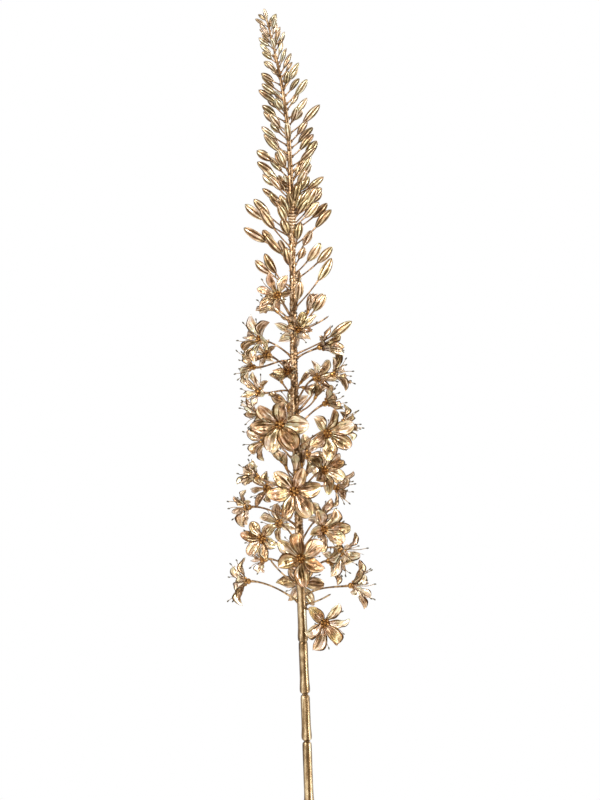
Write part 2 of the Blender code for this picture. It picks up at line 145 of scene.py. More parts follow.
def is_vector(term):
    return isinstance(term, (tuple, Vector)) or isinstance(term, Field) and term.socket.type == "VECTOR"


def work_out(operation, *terms):
    """Adds one Math or Vector Math node. A vector times a number is a Scale."""
    tree = next(term.tree for term in terms if isinstance(term, Field))
    if not any(is_vector(term) for term in terms):
        return Field(add_node(tree, "ShaderNodeMath", enumerate(terms), operation=operation).outputs[0])
    slots = enumerate(terms)
    if operation == "MULTIPLY" and not all(is_vector(term) for term in terms):
        operation = "SCALE"
        slots = zip((0, 3), sorted(terms, key=is_vector, reverse=True))
    node = add_node(tree, "ShaderNodeVectorMath", operation=operation)
    for slot, term in slots:
        if isinstance(term, Field):
            tree.links.new(term.socket, node.inputs[slot])
        else:
            node.inputs[slot].default_value = term
    return Field(node.outputs[0])


def sine(angle):
    """The sine of an angle in radians."""
    return work_out("SINE", angle)


def cosine(angle):
    return work_out("COSINE", angle)


def size_of(value):
    return work_out("ABSOLUTE", value)


def parts_of(tree, vector):
    """The three numbers of a vector."""
    return [Field(output) for output in add_node(tree, "ShaderNodeSeparateXYZ", {0: vector}).outputs]


def smooth_step(value, low, high, start=0.0, end=1.0):
    """Goes smoothly from start to end as the value goes from low to high."""
    inputs = {"Value": value, "From Min": low, "From Max": high, "To Min": start, "To Max": end}
    node = add_node(value.tree, "ShaderNodeMapRange", inputs, interpolation_type="SMOOTHSTEP")
    return Field(node.outputs[0])


def smooth_band(value, low, full, until, high, rest=0.0):
    """Goes from 0 at low to 1 at full, stays until the next place, and falls to rest."""
    return smooth_step(value, low, full) * smooth_step(value, until, high, 1.0, rest)


def swing(value, most):
    """A random value around a half as a swing to either side of nothing."""
    return (value - 0.5) * most


def fading(power):
    """e to a power, which fades as the power falls."""
    return work_out("POWER", 2.718, power)


print("Formulas can now be written for shapes and for finishes")

# %% [markdown]
# ## Finishes
# The real flower is moulded and sprayed with a warm bronze gold. Its finishes here paint highlights onto
# ridges, petal tips and the bands beside the rims, and paint shade into grooves, onto rims and into flower
# hearts. Ridges are also a little shinier. One material for each kind of part reads where a point is on its
# petal or bud from attributes that the shape's own tree stores. That keeps the streaks running along every
# petal, however it is turned. A noise on Object coordinates adds the unevenness of the spray.


# %% Colours and shader helpers
def paint(red, green, blue):
    """A colour from the usual 0 to 255 screen values, as the linear light that shaders use."""
    return (*[((value / 255 + 0.055) / 1.055) ** 2.4 for value in (red, green, blue)], 1.0)


WHITE = (1.0, 1.0, 1.0, 1.0)
UMBER = paint(84, 60, 32)
BRONZE = paint(142, 109, 77)
GOLD = paint(200, 169, 134)
PALE_GOLD = paint(238, 219, 194)
CREAM = paint(246, 239, 227)
PINK_CAST = (1.0, 0.945, 0.985, 1.0)
ORANGE_CAST = (1.0, 0.955, 0.86, 1.0)
OLIVE_CAST = (0.94, 1.04, 0.89, 1.0)
STEM_CAST = (0.95, 1.01, 0.93, 1.0)
TIP_CAST = (0.89, 0.96, 1.06, 1.0)
TIP_FADES = (0.84, 1.06)  # from and to, in metres up
CASTS = ((0.36, PINK_CAST), (0.5, ORANGE_CAST), (0.62, OLIVE_CAST))  # tints that drift over the gold
GILDING = ((0.0, UMBER), (0.25, BRONZE), (0.5, GOLD), (0.75, PALE_GOLD), (1.0, CREAM))


def new_finish(name):
    """A material with its tree and its Principled shader."""
    material = bpy.data.materials.new(name)
    material.use_nodes = True
    return material, material.node_tree, material.node_tree.nodes["Principled BSDF"]


def mark(tree, name):
    """A number that the shape's own tree stored at each point."""
    return Field(add_node(tree, "ShaderNodeAttribute", attribute_name=name).outputs["Fac"])


def noise(tree, place, scale, detail=2.0):
    """A soft random value around a half."""
    inputs = {"Vector": place, "Scale": scale, "Detail": detail}
    return Field(add_node(tree, "ShaderNodeTexNoise", inputs).outputs["Fac"])


def object_place(tree):
    """Where a point is, in metres."""
    return Field(add_node(tree, "ShaderNodeTexCoord").outputs["Object"])


def vector_of(tree, x, y, z):
    return Field(add_node(tree, "ShaderNodeCombineXYZ", {"X": x, "Y": y, "Z": z}).outputs[0])


def colours_along(tree, value, stops):
    """A colour ramp over a value."""
    node = add_node(tree, "ShaderNodeValToRGB", {"Fac": value})
    ramp = node.color_ramp
    while len(ramp.elements) < len(stops):
        ramp.elements.new(0.5)
    for element, (place, colour) in zip(ramp.elements, stops):
        element.position = place
        element.color = colour
    return node.outputs["Color"]


def mixed(tree, share, first, second):
    """The first colour where the share is 0, and the second where it is 1."""
    inputs = {"Factor": share, "A": first, "B": second}
    return pick(add_node(tree, "ShaderNodeMix", inputs, data_type="RGBA").outputs, "Result")


def tinted(tree, colour, tint):
    """One colour times another."""
    inputs = {"Factor": 1.0, "A": colour, "B": tint}
    node = add_node(tree, "ShaderNodeMix", inputs, data_type="RGBA", blend_type="MULTIPLY")
    return pick(node.outputs, "Result")


def bump(tree, height, strength, depth):
    """A normal that is tilted by a height, where depth is in metres."""
    inputs = {"Height": height, "Strength": strength, "Distance": depth}
    return add_node(tree, "ShaderNodeBump", inputs).outputs["Normal"]


def finish_surface(tree, shader, inputs, **constants):
    """Feeds the shader's inputs from nodes and sets its constants on their own sockets."""
    for name, source in inputs.items():
        tree.links.new(source.socket if isinstance(source, Field) else source, shader.inputs[name])
    for name, value in constants.items():
        shader.inputs[name.replace("_", " ")].default_value = value


def gild(tree, shader, tone, cast, rough, normal, **layers):
    """Bronze gold whose shade follows a tone from 0, umber, to 1, cream, and is tinted by the cast."""
    colour = tinted(tree, colours_along(tree, tone, GILDING), cast)
    finish_surface(tree, shader, {"Base Color": colour, "Roughness": rough, "Normal": normal}, **layers)


SATIN = {"Metallic": 0.88, "Coat_Weight": 0.15, "Coat_Roughness": 0.2}
GLOSSY = {"Metallic": 0.88, "Coat_Weight": 0.2, "Coat_Roughness": 0.15}
print("The gilding runs over", len(GILDING), "shades from umber to cream")


# %% Gilt for the petals
GRAIN = 2400  # of the spray's fine grain, per metre
CLOUDS = 150  # of its thick and thin places, per metre
DRIFT = 90  # of its warmer and cooler places, per metre
RELIEF = (0.5, 0.0002)  # strength of the bumps, and their height in metres
STREAKS = (3.4, 1.0, 40)  # how often broad streaks change across a petal, along it and from petal to petal
HAIRS = (15, 1.6, 70)  # the same for fine ones
# The crest adds painted highlights on the pleats and painted shade between them; the tip and the band beside
# the rim add painted highlights, and the rim takes tone away as painted shade.
PETAL_TONE = {
    "plain": 0.487, "crest": 0.28, "streak": 1.8, "hair": 1.9, "cloud": 1.0, "tip": 0.08, "painted rim highlight": 0.16,
    "rim": 0.95, "chance": 0.4, "under": 0.04,
}  # a plain place, and what each thing adds; the rim and the underside take their part away
PAINTED_TIP_HIGHLIGHT = (0.5, 0.9)  # where it starts and is reached, as shares of the length
PAINTED_RIM_SHADE = (0.86, 0.94)  # the same from the middle, 0, to the edge, 1
PAINTED_RIM_HIGHLIGHT = (0.66, 0.8)
# The heart's brown is painted shade where the petals meet.
PAINTED_HEART_SHADE = (0.07, 0.22, 0.05)  # how far the heart's brown reaches, and the share of the tone left in it


def streaks_along(tree, across, share, chance, often, detail):
    """A noise that runs along a petal and differs from petal to petal."""
    place = vector_of(tree, across * often[0], share * often[1], chance * often[2])
    return noise(tree, place, 1.0, detail)


def petal_finish():
    material, tree, shader = new_finish("gilt_petal")
    names = ("share", "across", "crest", "upper", "chance")
    share, across, crest, upper, chance = (mark(tree, name) for name in names)
    place = object_place(tree)
    streak = streaks_along(tree, across, share, chance, STREAKS, 3.0)
    hair = streaks_along(tree, across, share, chance, HAIRS, 1.0)
    cloud = noise(tree, place, CLOUDS)
    grain = noise(tree, place, GRAIN, 1.0)
    # Painted highlight towards the tip, painted shade on the rim, and a painted highlight beside it.
    tip = smooth_step(share, *PAINTED_TIP_HIGHLIGHT)
    rim = smooth_step(size_of(across), *PAINTED_RIM_SHADE)
    rim_highlight = smooth_step(size_of(across), *PAINTED_RIM_HIGHLIGHT)
    under = smooth_step(upper, -0.2, 0.05, 1.0, 0.0)
    adds = PETAL_TONE
    tone = adds["plain"] + crest * adds["crest"] + swing(streak, adds["streak"])
    tone = tone + swing(hair, adds["hair"]) * (1.0 - tip * 0.7) + swing(cloud, adds["cloud"])
    tone = tone + tip * adds["tip"] + rim_highlight * adds["painted rim highlight"] - rim * adds["rim"]
    tone = tone + swing(chance, adds["chance"]) - under * adds["under"]
    # Painted shade of the heart: the petal darkens towards its base.
    start, end, left = PAINTED_HEART_SHADE
    tone = tone * smooth_step(share, start, end, left, 1.0)
    cast = colours_along(tree, noise(tree, place, DRIFT), CASTS)
    rough = 0.33 - crest * 0.04 + swing(grain, 0.16) - tip * 0.02
    gild(tree, shader, tone, cast, rough, bump(tree, grain * 0.6 + streak * 1.4, *RELIEF), **SATIN)
    return material


gilt_petal = petal_finish()
print("gilt_petal has", len(gilt_petal.node_tree.nodes), "nodes")


# %% Gilt for the buds
BUD_STREAKS = (2.2, 1.2, 40)  # by depth, along the bud, and from bud to bud
BUD_CLOUDS = 225  # of their thick and thin places, per metre
BUD_TONE = {"plain": 0.355, "crest": 0.44, "streak": 0.9, "cloud": 0.7, "chance": 0.3}
BUD_ENDS = ((0.0, 0.12, 0.4, 1.0), (0.9, 1.0, 1.0, 0.55))  # darker from share to share of its length
BUD_CASTS = (70, 0.8, 0.13)  # how often the tints change per metre, and how the noise spreads over them


def bud_finish():
    material, tree, shader = new_finish("gilt_bud")
    share, crest, chance = (mark(tree, name) for name in ("share", "crest", "chance"))
    place = object_place(tree)
    streak = streaks_along(tree, crest, share, chance, BUD_STREAKS, 2.0)
    cloud = noise(tree, place, BUD_CLOUDS)
    grain = noise(tree, place, GRAIN, 1.0)
    adds = BUD_TONE
    # The crest paints highlights onto the ribs and shade into the grooves.
    tone = adds["plain"] + crest * adds["crest"] + swing(streak, adds["streak"])
    tone = tone + swing(cloud, adds["cloud"]) + swing(chance, adds["chance"])
    for end in BUD_ENDS:
        tone = tone * smooth_step(share, *end)
    rough = 0.36 - crest * 0.08 + swing(grain, 0.2)
    often, spread, shift = BUD_CASTS
    cast = colours_along(tree, noise(tree, place, often) * spread + shift, CASTS)
    fade = smooth_step(parts_of(tree, place)[2], *TIP_FADES)
    cast = tinted(tree, cast, mixed(tree, fade, WHITE, TIP_CAST))
    gild(tree, shader, tone, cast, rough, bump(tree, grain * 0.6 + streak, *RELIEF), **SATIN)
    return material


gilt_bud = bud_finish()
print("gilt_bud has", len(gilt_bud.node_tree.nodes), "nodes")

# %% Gilt for the stem and its stalks
STEM_TONE = {"streak": 1.2, "cloud": 0.6, "grain": 0.3, "crest": 0.5}
STEM_STREAKS = 420  # across the stem, per metre
STEM_RELIEF = (0.5, 0.00025)
BROWNER = (0.600, 0.640, 0.750, 0.830)  # where the stem is browner: from, fully, until and to, in metres up
BROWN_LEFT = 0.4  # share of the brown that stays above
WARMER = (0.48, 0.58)  # where the bare stem's cooler gold turns warm, in metres up


def stem_finish(name, along, plain, browner):
    """Gilding that is streaked along Z, and browner among the upper flowers."""
    material, tree, shader = new_finish(name)
    place = object_place(tree)
    height = parts_of(tree, place)[2]
    streak = noise(tree, work_out("MULTIPLY", place, (1.0, 1.0, along)), STEM_STREAKS, 3.0)
    cloud = noise(tree, place, CLOUDS)
    grain = noise(tree, place, GRAIN, 1.0)
    adds = STEM_TONE
    tone = plain + swing(streak, adds["streak"]) + swing(cloud, adds["cloud"]) + swing(grain, adds["grain"])
    # The crest adds the painted shade and highlights of the stem's furrows, ridges, rings and joints.
    tone = tone + mark(tree, "crest") * adds["crest"] - smooth_band(height, *BROWNER, BROWN_LEFT) * browner
    rough = 0.34 + swing(grain, 0.2) + swing(cloud, 0.15)
    cast = mixed(tree, smooth_step(height, *WARMER), STEM_CAST, ORANGE_CAST)
    gild(tree, shader, tone, cast, rough, bump(tree, grain + streak, *STEM_RELIEF), **GLOSSY)
    return material


gilt_stem = stem_finish("gilt_stem", along=0.06, plain=0.325, browner=0.06)
gilt_stalk = stem_finish("gilt_stalk", along=0.3, plain=0.22, browner=0.0)
print("Buds, stem and stalks share the same", len(GILDING), "shades")

# %% Hearts, threads and anthers
BLOTCHES = 500  # per metre


def dull_finish(name, dark, light, metallic, rough):
    """A finish that wanders between two shades, for the small parts."""
    material, tree, shader = new_finish(name)
    place = object_place(tree)
    cloud = noise(tree, place, BLOTCHES)
    grain = noise(tree, place, GRAIN, 1.0)
    tone = smooth_step(cloud * 0.6 + grain * 0.4, 0.38, 0.62)
    inputs = {
        "Base Color": mixed(tree, tone, dark, light),
        "Roughness": rough + swing(grain, 0.2),
        "Normal": bump(tree, grain, *RELIEF),
    }
    finish_surface(tree, shader, inputs, Metallic=metallic)
    return material


# The bowl's dark brown is painted shade where the petals meet.
heart_painted_shade = dull_finish("heart_painted_shade", paint(60, 35, 14), paint(134, 90, 44), 0.8, 0.42)
heart_bead = dull_finish("heart_bead", paint(104, 67, 30), paint(208, 158, 92), 0.85, 0.34)
thread_gold = dull_finish("thread_gold", paint(92, 72, 48), paint(176, 144, 102), 0.85, 0.36)
anther_grey = dull_finish("anther_grey", paint(52, 46, 36), paint(104, 94, 70), 0.3, 0.55)
print("The small parts have four finishes")

# %% [markdown]
# ## Where the stem runs
# The stem leans a little and hooks over at its tip. A curve through nine measured points gives its middle
# at any height, and a short table gives its thickness. All tables are in millimetres and degrees, with Z up
# from the vase's foot. They repeat the ones that the solids were made from, so each fine piece starts from
# its solid's own place.

# %% The stem's course
VASE_FLOOR = 6.5
NECK_BORE = 7.5
STEM_FOOT = VASE_FLOOR + 0.3
STEM_TIP = 1085
STEM_LINE = (
    (6.2, 0, STEM_FOOT), (-4.9, 0, 300), (-12.4, 0, 500), (-19.3, 0, 700), (-21.6, 0, 850),
    (-24.6, 0, 950), (-30.5, 0, 1005), (-38.5, -1, 1045), (-48.5, -3, STEM_TIP),
)
STEM_RADII = (
    (STEM_FOOT, 4.2), (500, 4.1), (520, 3.7), (760, 3.4), (850, 2.9), (960, 2.1), (1040, 1.3),
    (STEM_TIP, 0.8),
)


def at_share(table, share):
    """A measure read from a table of (share, measure) rows."""
    return float(np.interp(share, [row[0] for row in table], [row[1] for row in table]))


def smooth_line(points, steps=12):
    """Points along a Catmull-Rom curve through a list of points."""
    knots = [Vector(p) for p in points]
    knots = [2 * knots[0] - knots[1], *knots, 2 * knots[-1] - knots[-2]]
    line = []
    for a, b, c, d in zip(knots, knots[1:], knots[2:], knots[3:]):
        for t in (step / steps for step in range(steps)):
            bend = (2 * a - 5 * b + 4 * c - d) * t * t + (3 * b - a - 3 * c + d) * t**3
            line.append(0.5 * (2 * b + (c - a) * t + bend))
    return [*line, knots[-2]]


STEM_X, STEM_Y, STEM_Z = np.array(smooth_line(STEM_LINE)).T


def stem_at(height):
    """The middle of the stem at a height."""
    return Vector((np.interp(height, STEM_Z, STEM_X), np.interp(height, STEM_Z, STEM_Y), height))


def stem_direction(height, step=4):
    return (stem_at(min(height + step, STEM_TIP)) - stem_at(height - step)).normalized()


def outwards(height, turn):
    """The direction straight out of the stem; turn is 0 towards the viewer and 90 to the right."""
    angle = math.radians(turn)
    flat = Vector((math.sin(angle), -math.cos(angle), 0))
    along = stem_direction(height)
    return (flat - along * flat.dot(along)).normalized()


def ring(middle, side, front, radius, sides):
    """Points of a circle that starts at side and turns towards front."""
    angles = (FULL_TURN * i / sides for i in range(sides))
    return [middle + (side * math.cos(a) + front * math.sin(a)) * radius for a in angles]


print("The stem is", 2 * at_share(STEM_RADII, 500), "mm thick at mid height")
print("Its tip is at", STEM_X[-1], "mm across and", STEM_Z[-1], "mm up")

# %% [markdown]
# ## The buds' places
# Buds sit round the stem in the golden-angle spiral that most flower spikes follow: each is 137.5 degrees
# on from the last, so none hides the one below. The large lower ones were measured one by one. The rest
# come from the rule, with tables that make them smaller and more upright towards the tip, and a seeded draw
# that varies them.

# %% The solids' buds
Bud = namedtuple("Bud", "root turn stalk lean length radius")
LOW_BUDS = (
    Bud(745, 78, 41, 62, 25, 3.4), Bud(768, 66, 30, 45, 19, 3.4), Bud(776, 112, 25, 48, 18, 3.2),
    Bud(790, 88, 38, 38, 24, 3.6), Bud(783, 24, 20, 30, 18, 3.2), Bud(779, -150, 26, 46, 19, 3.2),
    Bud(805, -64, 28, 38, 21, 3.3), Bud(800, 170, 24, 48, 19, 3.2), Bud(812, -106, 26, 55, 20, 3.3),
    Bud(818, 100, 31, 50, 20, 3.2), Bud(824, 58, 22, 48, 21, 3.5), Bud(822, -20, 15, 34, 18, 3.1),
    Bud(831, -158, 25, 50, 19, 3.1), Bud(836, -74, 15, 46, 22, 3.1), Bud(840, 146, 25, 50, 19, 3.1),
    Bud(846, -90, 29, 62, 23, 3.5), Bud(853, 82, 30, 49, 21, 3.0), Bud(848, 14, 13, 22, 16, 3.0),
    Bud(851, -54, 29, 45, 23, 3.5), Bud(860, 180, 22, 48, 19, 3.0), Bud(862, -102, 35, 54, 21, 3.2),
    Bud(868, 94, 25, 53, 18, 3.0), Bud(866, -30, 17, 44, 18, 3.1), Bud(874, 132, 23, 50, 19, 3.0),
    Bud(879, 64, 20, 44, 20, 3.1), Bud(880, -140, 22, 50, 19, 3.0),
)
SPIRAL_FIRST = 884
SPIRAL_LAST = 1081
SPIRAL_TURN = 137.5
SPIRAL_PITCH = ((0, 3.1), (1, 2.7))
SPIRAL_STALK = ((0, 19), (0.4, 14), (0.7, 8), (1, 2.5))
SPIRAL_LEAN = ((0, 53), (0.6, 50), (0.85, 38), (1, 16))
SPIRAL_LENGTH = ((0, 18.5), (0.4, 17), (0.75, 12), (1, 8))
SPIRAL_RADIUS = ((0, 2.9), (0.4, 2.6), (0.75, 2.0), (1, 1.5))
SPIRAL_VARIES = (10, (0.82, 1.15), 7, (0.9, 1.08), (0.92, 1.08))  # turn, stalk, lean, length and radius
SPIRAL_SEED = 4
BUD_STALK_RADIUS = 0.85
STALK_FINER = ((990, 1.0), (1050, 0.7), (1081, 0.5))  # towards the tip, by the root's height
BUD_STALK_BEND = 6  # half of its turn towards upright


def spiral_buds():
    draw = random.Random(SPIRAL_SEED)
    turn, stalk, lean, length, radius = SPIRAL_VARIES
    buds = []
    height = SPIRAL_FIRST
    while height < SPIRAL_LAST:
        share = (height - SPIRAL_FIRST) / (SPIRAL_LAST - SPIRAL_FIRST)
        buds.append(
            Bud(
                root=height,
                turn=len(buds) * SPIRAL_TURN + draw.uniform(-turn, turn),
                stalk=at_share(SPIRAL_STALK, share) * draw.uniform(*stalk),
                lean=at_share(SPIRAL_LEAN, share) + draw.uniform(-lean, lean),
                length=at_share(SPIRAL_LENGTH, share) * draw.uniform(*length),
                radius=at_share(SPIRAL_RADIUS, share) * draw.uniform(*radius),
            )
        )
        height += at_share(SPIRAL_PITCH, share)
    return buds


def bud_course(bud):
    """The root, middle and end of a bud's stalk, and the direction in which the bud points."""
    root = stem_at(bud.root)
    out, up = outwards(bud.root, bud.turn), stem_direction(bud.root)
    lean, straighter = math.radians(bud.lean + BUD_STALK_BEND), math.radians(bud.lean - BUD_STALK_BEND)
    first = out * math.sin(lean) + up * math.cos(lean)
    then = out * math.sin(straighter) + up * math.cos(straighter)
    middle = root + first * bud.stalk / 2
    return root, middle, middle + (first + then).normalized() * bud.stalk / 2, then


BUDS = [*LOW_BUDS, *spiral_buds()]
print(len(BUDS), "buds,", len(BUDS) - len(LOW_BUDS), "of them on the spiral")

# %% [markdown]
# ## The buds as they show
# The real tail is thicker with buds than its solid: a loose tuft covers the tip, and short buds fill the
# gaps close to the stem. Its buds also stand more to the sides, so the stem shows between them. So this
# model adds buds of its own and swings each bud of the tail a little before it is shown. Another seeded
# draw varies them once more.

# %% Extra buds, and how the tail's buds are swung
TUFT = [
    *(Bud(1022 + i * 4.6, 60 + i * SPIRAL_TURN, 7 - i * 0.3, 50 - i * 2.0, 9, 1.3) for i in range(12)),
    *(
        Bud(864 + i * 9, 25 + i * SPIRAL_TURN, 12 - i * 0.4, 40, 19 - i * 0.3, 3.0 - i * 0.04)
        for i in range(8)
    ),
    Bud(872, 70, 17, 44, 19, 3.1), Bud(884, -62, 16, 40, 18, 3.0), Bud(900, 84, 15, 46, 18, 2.9),
    Bud(912, -84, 17, 50, 17, 2.9), Bud(926, 88, 20, 50, 17, 2.9), Bud(1010, 80, 12, 50, 13, 2.2),
    Bud(886, 70, 7, 34, 12, 2.6), Bud(856, -46, 10, 30, 18, 3.1), Bud(832, 70, 11, 38, 13, 2.7),
    Bud(842, -96, 22, 46, 18, 3.0),
    Bud(880, 60, 8, 42, 20, 3.4), Bud(892, 52, 9, 26, 17, 3.2), Bud(880, -52, 8, 26, 18, 3.0),
    Bud(884, 95, 24, 50, 17, 3.0), Bud(866, -70, 24, 52, 19, 3.0), Bud(1052, 80, 11, 34, 9, 1.4),
]
KEPT_CLEAR = 35  # degrees from the front in which no extra bud hides the stem
EXTRA_BUDS = [bud for bud in TUFT if abs(math.remainder(bud.turn, 360)) > KEPT_CLEAR]
TOP_BUD = Bud(1079, 0, 0.6, 0, 9.6, 1.6)
# Degrees from the front and back towards the sides, and away from the stem, by the height of the bud's root
SWUNG = ((884, 0), (900, 24), (1081, 24))
SPREAD = ((1040, 0), (1060, 10), (1081, 30))
OWN_SWING = {848: 46}  # degrees round the stem for one of the large lower buds, by its root
SHOWN_VARIES = ((-9, 9), (0.8, 1.2), (0.8, 1.12), (0.82, 1.1))  # lean, stalk, length and radius
SHOWN_SEED = 9


def as_shown(bud, draw):
    """A bud of the tail swung to the side, which leaves the stem in sight as on the real spike."""
    lean, stalk, length, radius = (draw.uniform(*most) for most in SHOWN_VARIES)
    if bud in LOW_BUDS:
        return bud._replace(turn=bud.turn + OWN_SWING.get(bud.root, 0))
    return Bud(
        root=bud.root,
        turn=bud.turn + at_share(SWUNG, bud.root) * math.sin(2 * math.radians(bud.turn)),
        stalk=bud.stalk * stalk,
        lean=bud.lean + at_share(SPREAD, bud.root) + lean,
        length=bud.length * length,
        radius=bud.radius * radius,
    )


shown_draw = random.Random(SHOWN_SEED)
SHOWN_BUDS = [*(as_shown(bud, shown_draw) for bud in (*BUDS, *EXTRA_BUDS)), TOP_BUD]
print(len(SHOWN_BUDS), "buds are shown,", len(SHOWN_BUDS) - len(BUDS), "of them without a solid")

# %% [markdown]
# ## The flowers' places
# Each open flower was set against the photograph: where its middle is, which way it faces, how long its
# petals are, how far it has closed, and where its stalk leaves the stem. The ones at the back fill the
# spike all round, as the photograph doesn't show them.

# %% The open flowers
Bloom = namedtuple("Bloom", "x depth z turn tilt petal lift spin root")
BLOOMS = (
    Bloom(-34, -33, 676, -4, -12, 31, 0, 7, 648),
    Bloom(-20, -36, 610, 0, -8, 29, 2, 10, 584),
    Bloom(-13, -34, 543, 0, 8, 28, 4, 30, 520),
    Bloom(12, -23, 667, 32, -4, 27, 2, 30, 640),
    Bloom(-16, -25, 768, 6, 34, 22, 18, 20, 750),
    Bloom(-36, -24, 803, -24, 22, 22, 14, 52, 780),
    Bloom(-53, -14, 760, -52, 8, 24, 6, 40, 741),
    Bloom(9, -17, 630, 28, 6, 24, 4, 34, 606),
    Bloom(9, -20, 571, 30, 4, 24, 8, 8, 548),
    Bloom(-51, -18, 562, -22, -4, 22, 4, 50, 540),
    Bloom(10, -25, 479, 16, -14, 23, 2, 12, 489),
    Bloom(-67, -6, 519, -80, -2, 21, 2, 85, 495),
    Bloom(38, -6, 515, 78, 8, 21, 6, 80, 502),
    Bloom(-66, -12, 593, -62, -8, 20, 6, 20, 572),
    Bloom(-58, -8, 624, -64, 26, 20, 14, 60, 602),
    Bloom(27, -6, 549, 62, -34, 21, -6, 70, 536),
    Bloom(-62, -2, 733, -78, 8, 20, 4, 80, 736),
    Bloom(-54, -12, 708, -46, 12, 20, 10, 36, 706),
    Bloom(20, -4, 726, 74, 24, 21, 8, 16, 686),
    Bloom(7, -12, 753, 62, 18, 19, 26, 50, 739),
    Bloom(12, 2, 697, 84, 28, 19, 22, 12, 672),
    Bloom(-55, 2, 686, -92, -20, 20, 2, 70, 664),
    Bloom(28, 12, 676, 104, 12, 20, 12, 40, 650),
    Bloom(-50, 18, 659, -122, -4, 21, 6, 20, 636),
    Bloom(22, 10, 612, 98, -18, 21, 4, 30, 600),
    Bloom(-46, 20, 611, -132, 4, 20, 8, 50, 590),
    Bloom(-13, 26, 514, 176, 4, 24, 2, 0, 492),
    Bloom(-34, 26, 575, -154, 6, 22, 4, 25, 553),
    Bloom(6, 26, 580, 146, 8, 22, 6, 45, 556),
    Bloom(-8, 28, 645, 162, 2, 23, 4, 15, 622),
    Bloom(-24, 29, 692, -172, 10, 22, 4, 35, 668),
    Bloom(2, 25, 722, 138, 14, 21, 10, 5, 696),
    Bloom(-46, 18, 745, -128, 16, 21, 8, 30, 722),
    Bloom(-20, 27, 765, 174, 22, 21, 14, 22, 742),
    Bloom(-50, 14, 540, -112, -6, 21, 6, 65, 520),
    Bloom(16, 18, 538, 122, -4, 22, 4, 12, 512),
    Bloom(-26, -22, 727, -8, 14, 16, 34, 5, 712),
    Bloom(-40, 14, 793, -118, 30, 19, 24, 10, 776),
)
CUP_BACK = -4.4  # where the cup behind the petals ends, along the flower's axis
CUP_GAP = 0.3
STALK_RADIUS = 1.05
STALK_LEAVES = 49  # from upright, where it leaves the stem
STALK_PULLS = (0.4, 0.35, 12)  # how far each end keeps its course: shares of the reach, the last at most 12


def middle_of(bloom):
    """Where a flower's petals meet."""
    return Vector((bloom.x, bloom.depth, bloom.z))


def flower_axes(bloom):
    """The flower's right, its up and the way it faces."""
    turn, tilt = math.radians(bloom.turn), math.radians(bloom.tilt)
    face = Vector((math.sin(turn) * math.cos(tilt), -math.cos(turn) * math.cos(tilt), math.sin(tilt)))
    right = Vector((0, 0, 1)).cross(face).normalized()
    return right, face.cross(right), face


def stalk_pulls(bloom):
    """The four points of the Bezier curve that a flower's stalk follows."""
    face = flower_axes(bloom)[2]
    root, end = stem_at(bloom.root), middle_of(bloom) + face * (CUP_BACK - CUP_GAP)
    reach = (end - root).length
    out = Vector((end.x - root.x, end.y - root.y, 0)).normalized()
    lean = math.radians(STALK_LEAVES)
    leaving, arriving, most = STALK_PULLS
    a = root + (out * math.sin(lean) + Vector((0, 0, 1)) * math.cos(lean)) * reach * leaving
    return root, a, end - face * min(reach * arriving, most), end


def stalk_course(bloom, steps):
    """Points along a flower's stalk."""
    a, b, c, d = stalk_pulls(bloom)
    shares = (i / steps for i in range(steps + 1))
    return [a * (1 - t) ** 3 + b * 3 * t * (1 - t) ** 2 + c * 3 * t**2 * (1 - t) + d * t**3 for t in shares]


petals_long = [bloom.petal for bloom in BLOOMS]
print(len(BLOOMS), "open flowers, with petals from", min(petals_long), "to", max(petals_long), "mm")

# %% [markdown]
# ## Room for every petal
# A petal is an arc that rises from the flower's middle and turns out at its tip. In a crowded spike petals
# would cut through stalks and each other. So each petal and each thread tries its own place first, then
# small bends, swings and sizes, and takes the first that is clear of what stands already. The draws are
# seeded and the search is the same as for the solids, so it settles in the same places.

# %% What a petal and a thread look like to the search
PETALS = 6
PETAL_RISE = 48  # its slope where it leaves the middle, and at its tip
PETAL_FALL = -14
ROOT_FOLLOWS = (0.5, 0.6)  # how much of the flower's lift and of its own bend a petal shows where it leaves
PETAL_ROOT = (1.7, -0.9)  # distance out from the flower's axis, and along it
PETAL_WIDTH = (5.6, 0.27)  # of the smallest, and what it gains with the length
PETAL_SKEW = 1.36
PETAL_FULLNESS = 0.9
PETAL_CUP = 0.26
PETAL_WHORLS = (-4, 5)  # every other petal stands a little higher
PETAL_VARIES = (3, 6, (0.93, 1.05))  # angle, bend and share of the length
STAMEN_FOOT = 0.9
STAMEN_LEAN = 44  # from the flower's axis
STAMEN_CLOSES = 0.6  # of the flower's lift
STAMEN_REACH = 0.86  # of a petal's length
STAMEN_VARIES = (9, 16, (0.85, 1.1))
FLOWER_SEED = 11
CLEARANCE = 2.6
BENDS = (0, 9, -9, 18, -18, 28, -28, 38, 50, -40, 62, 74)
SWEEPS = (0, 7, -7, 13, -13)
LEANS = (0, -12, 12, -24, -36)
SIZES = (1.0, 0.86, 0.72)
Petal = namedtuple("Petal", "angle bend length")
Stamen = namedtuple("Stamen", "angle lean length")
Flower = namedtuple("Flower", "bloom axes petals stamens")


def petal_arc(bloom, petal):
    """The slope at a petal's root, and how much it changes to the tip."""
    rise = math.radians(PETAL_RISE + bloom.lift * ROOT_FOLLOWS[0] + petal.bend * ROOT_FOLLOWS[1])
    return rise, math.radians(PETAL_FALL + bloom.lift + petal.bend) - rise


def petal_directions(axes, petal):
    """The way out along a petal, and the way across it."""
    right, up, _ = axes
    angle = math.radians(petal.angle)
    return right * math.cos(angle) + up * math.sin(angle), up * math.cos(angle) - right * math.sin(angle)


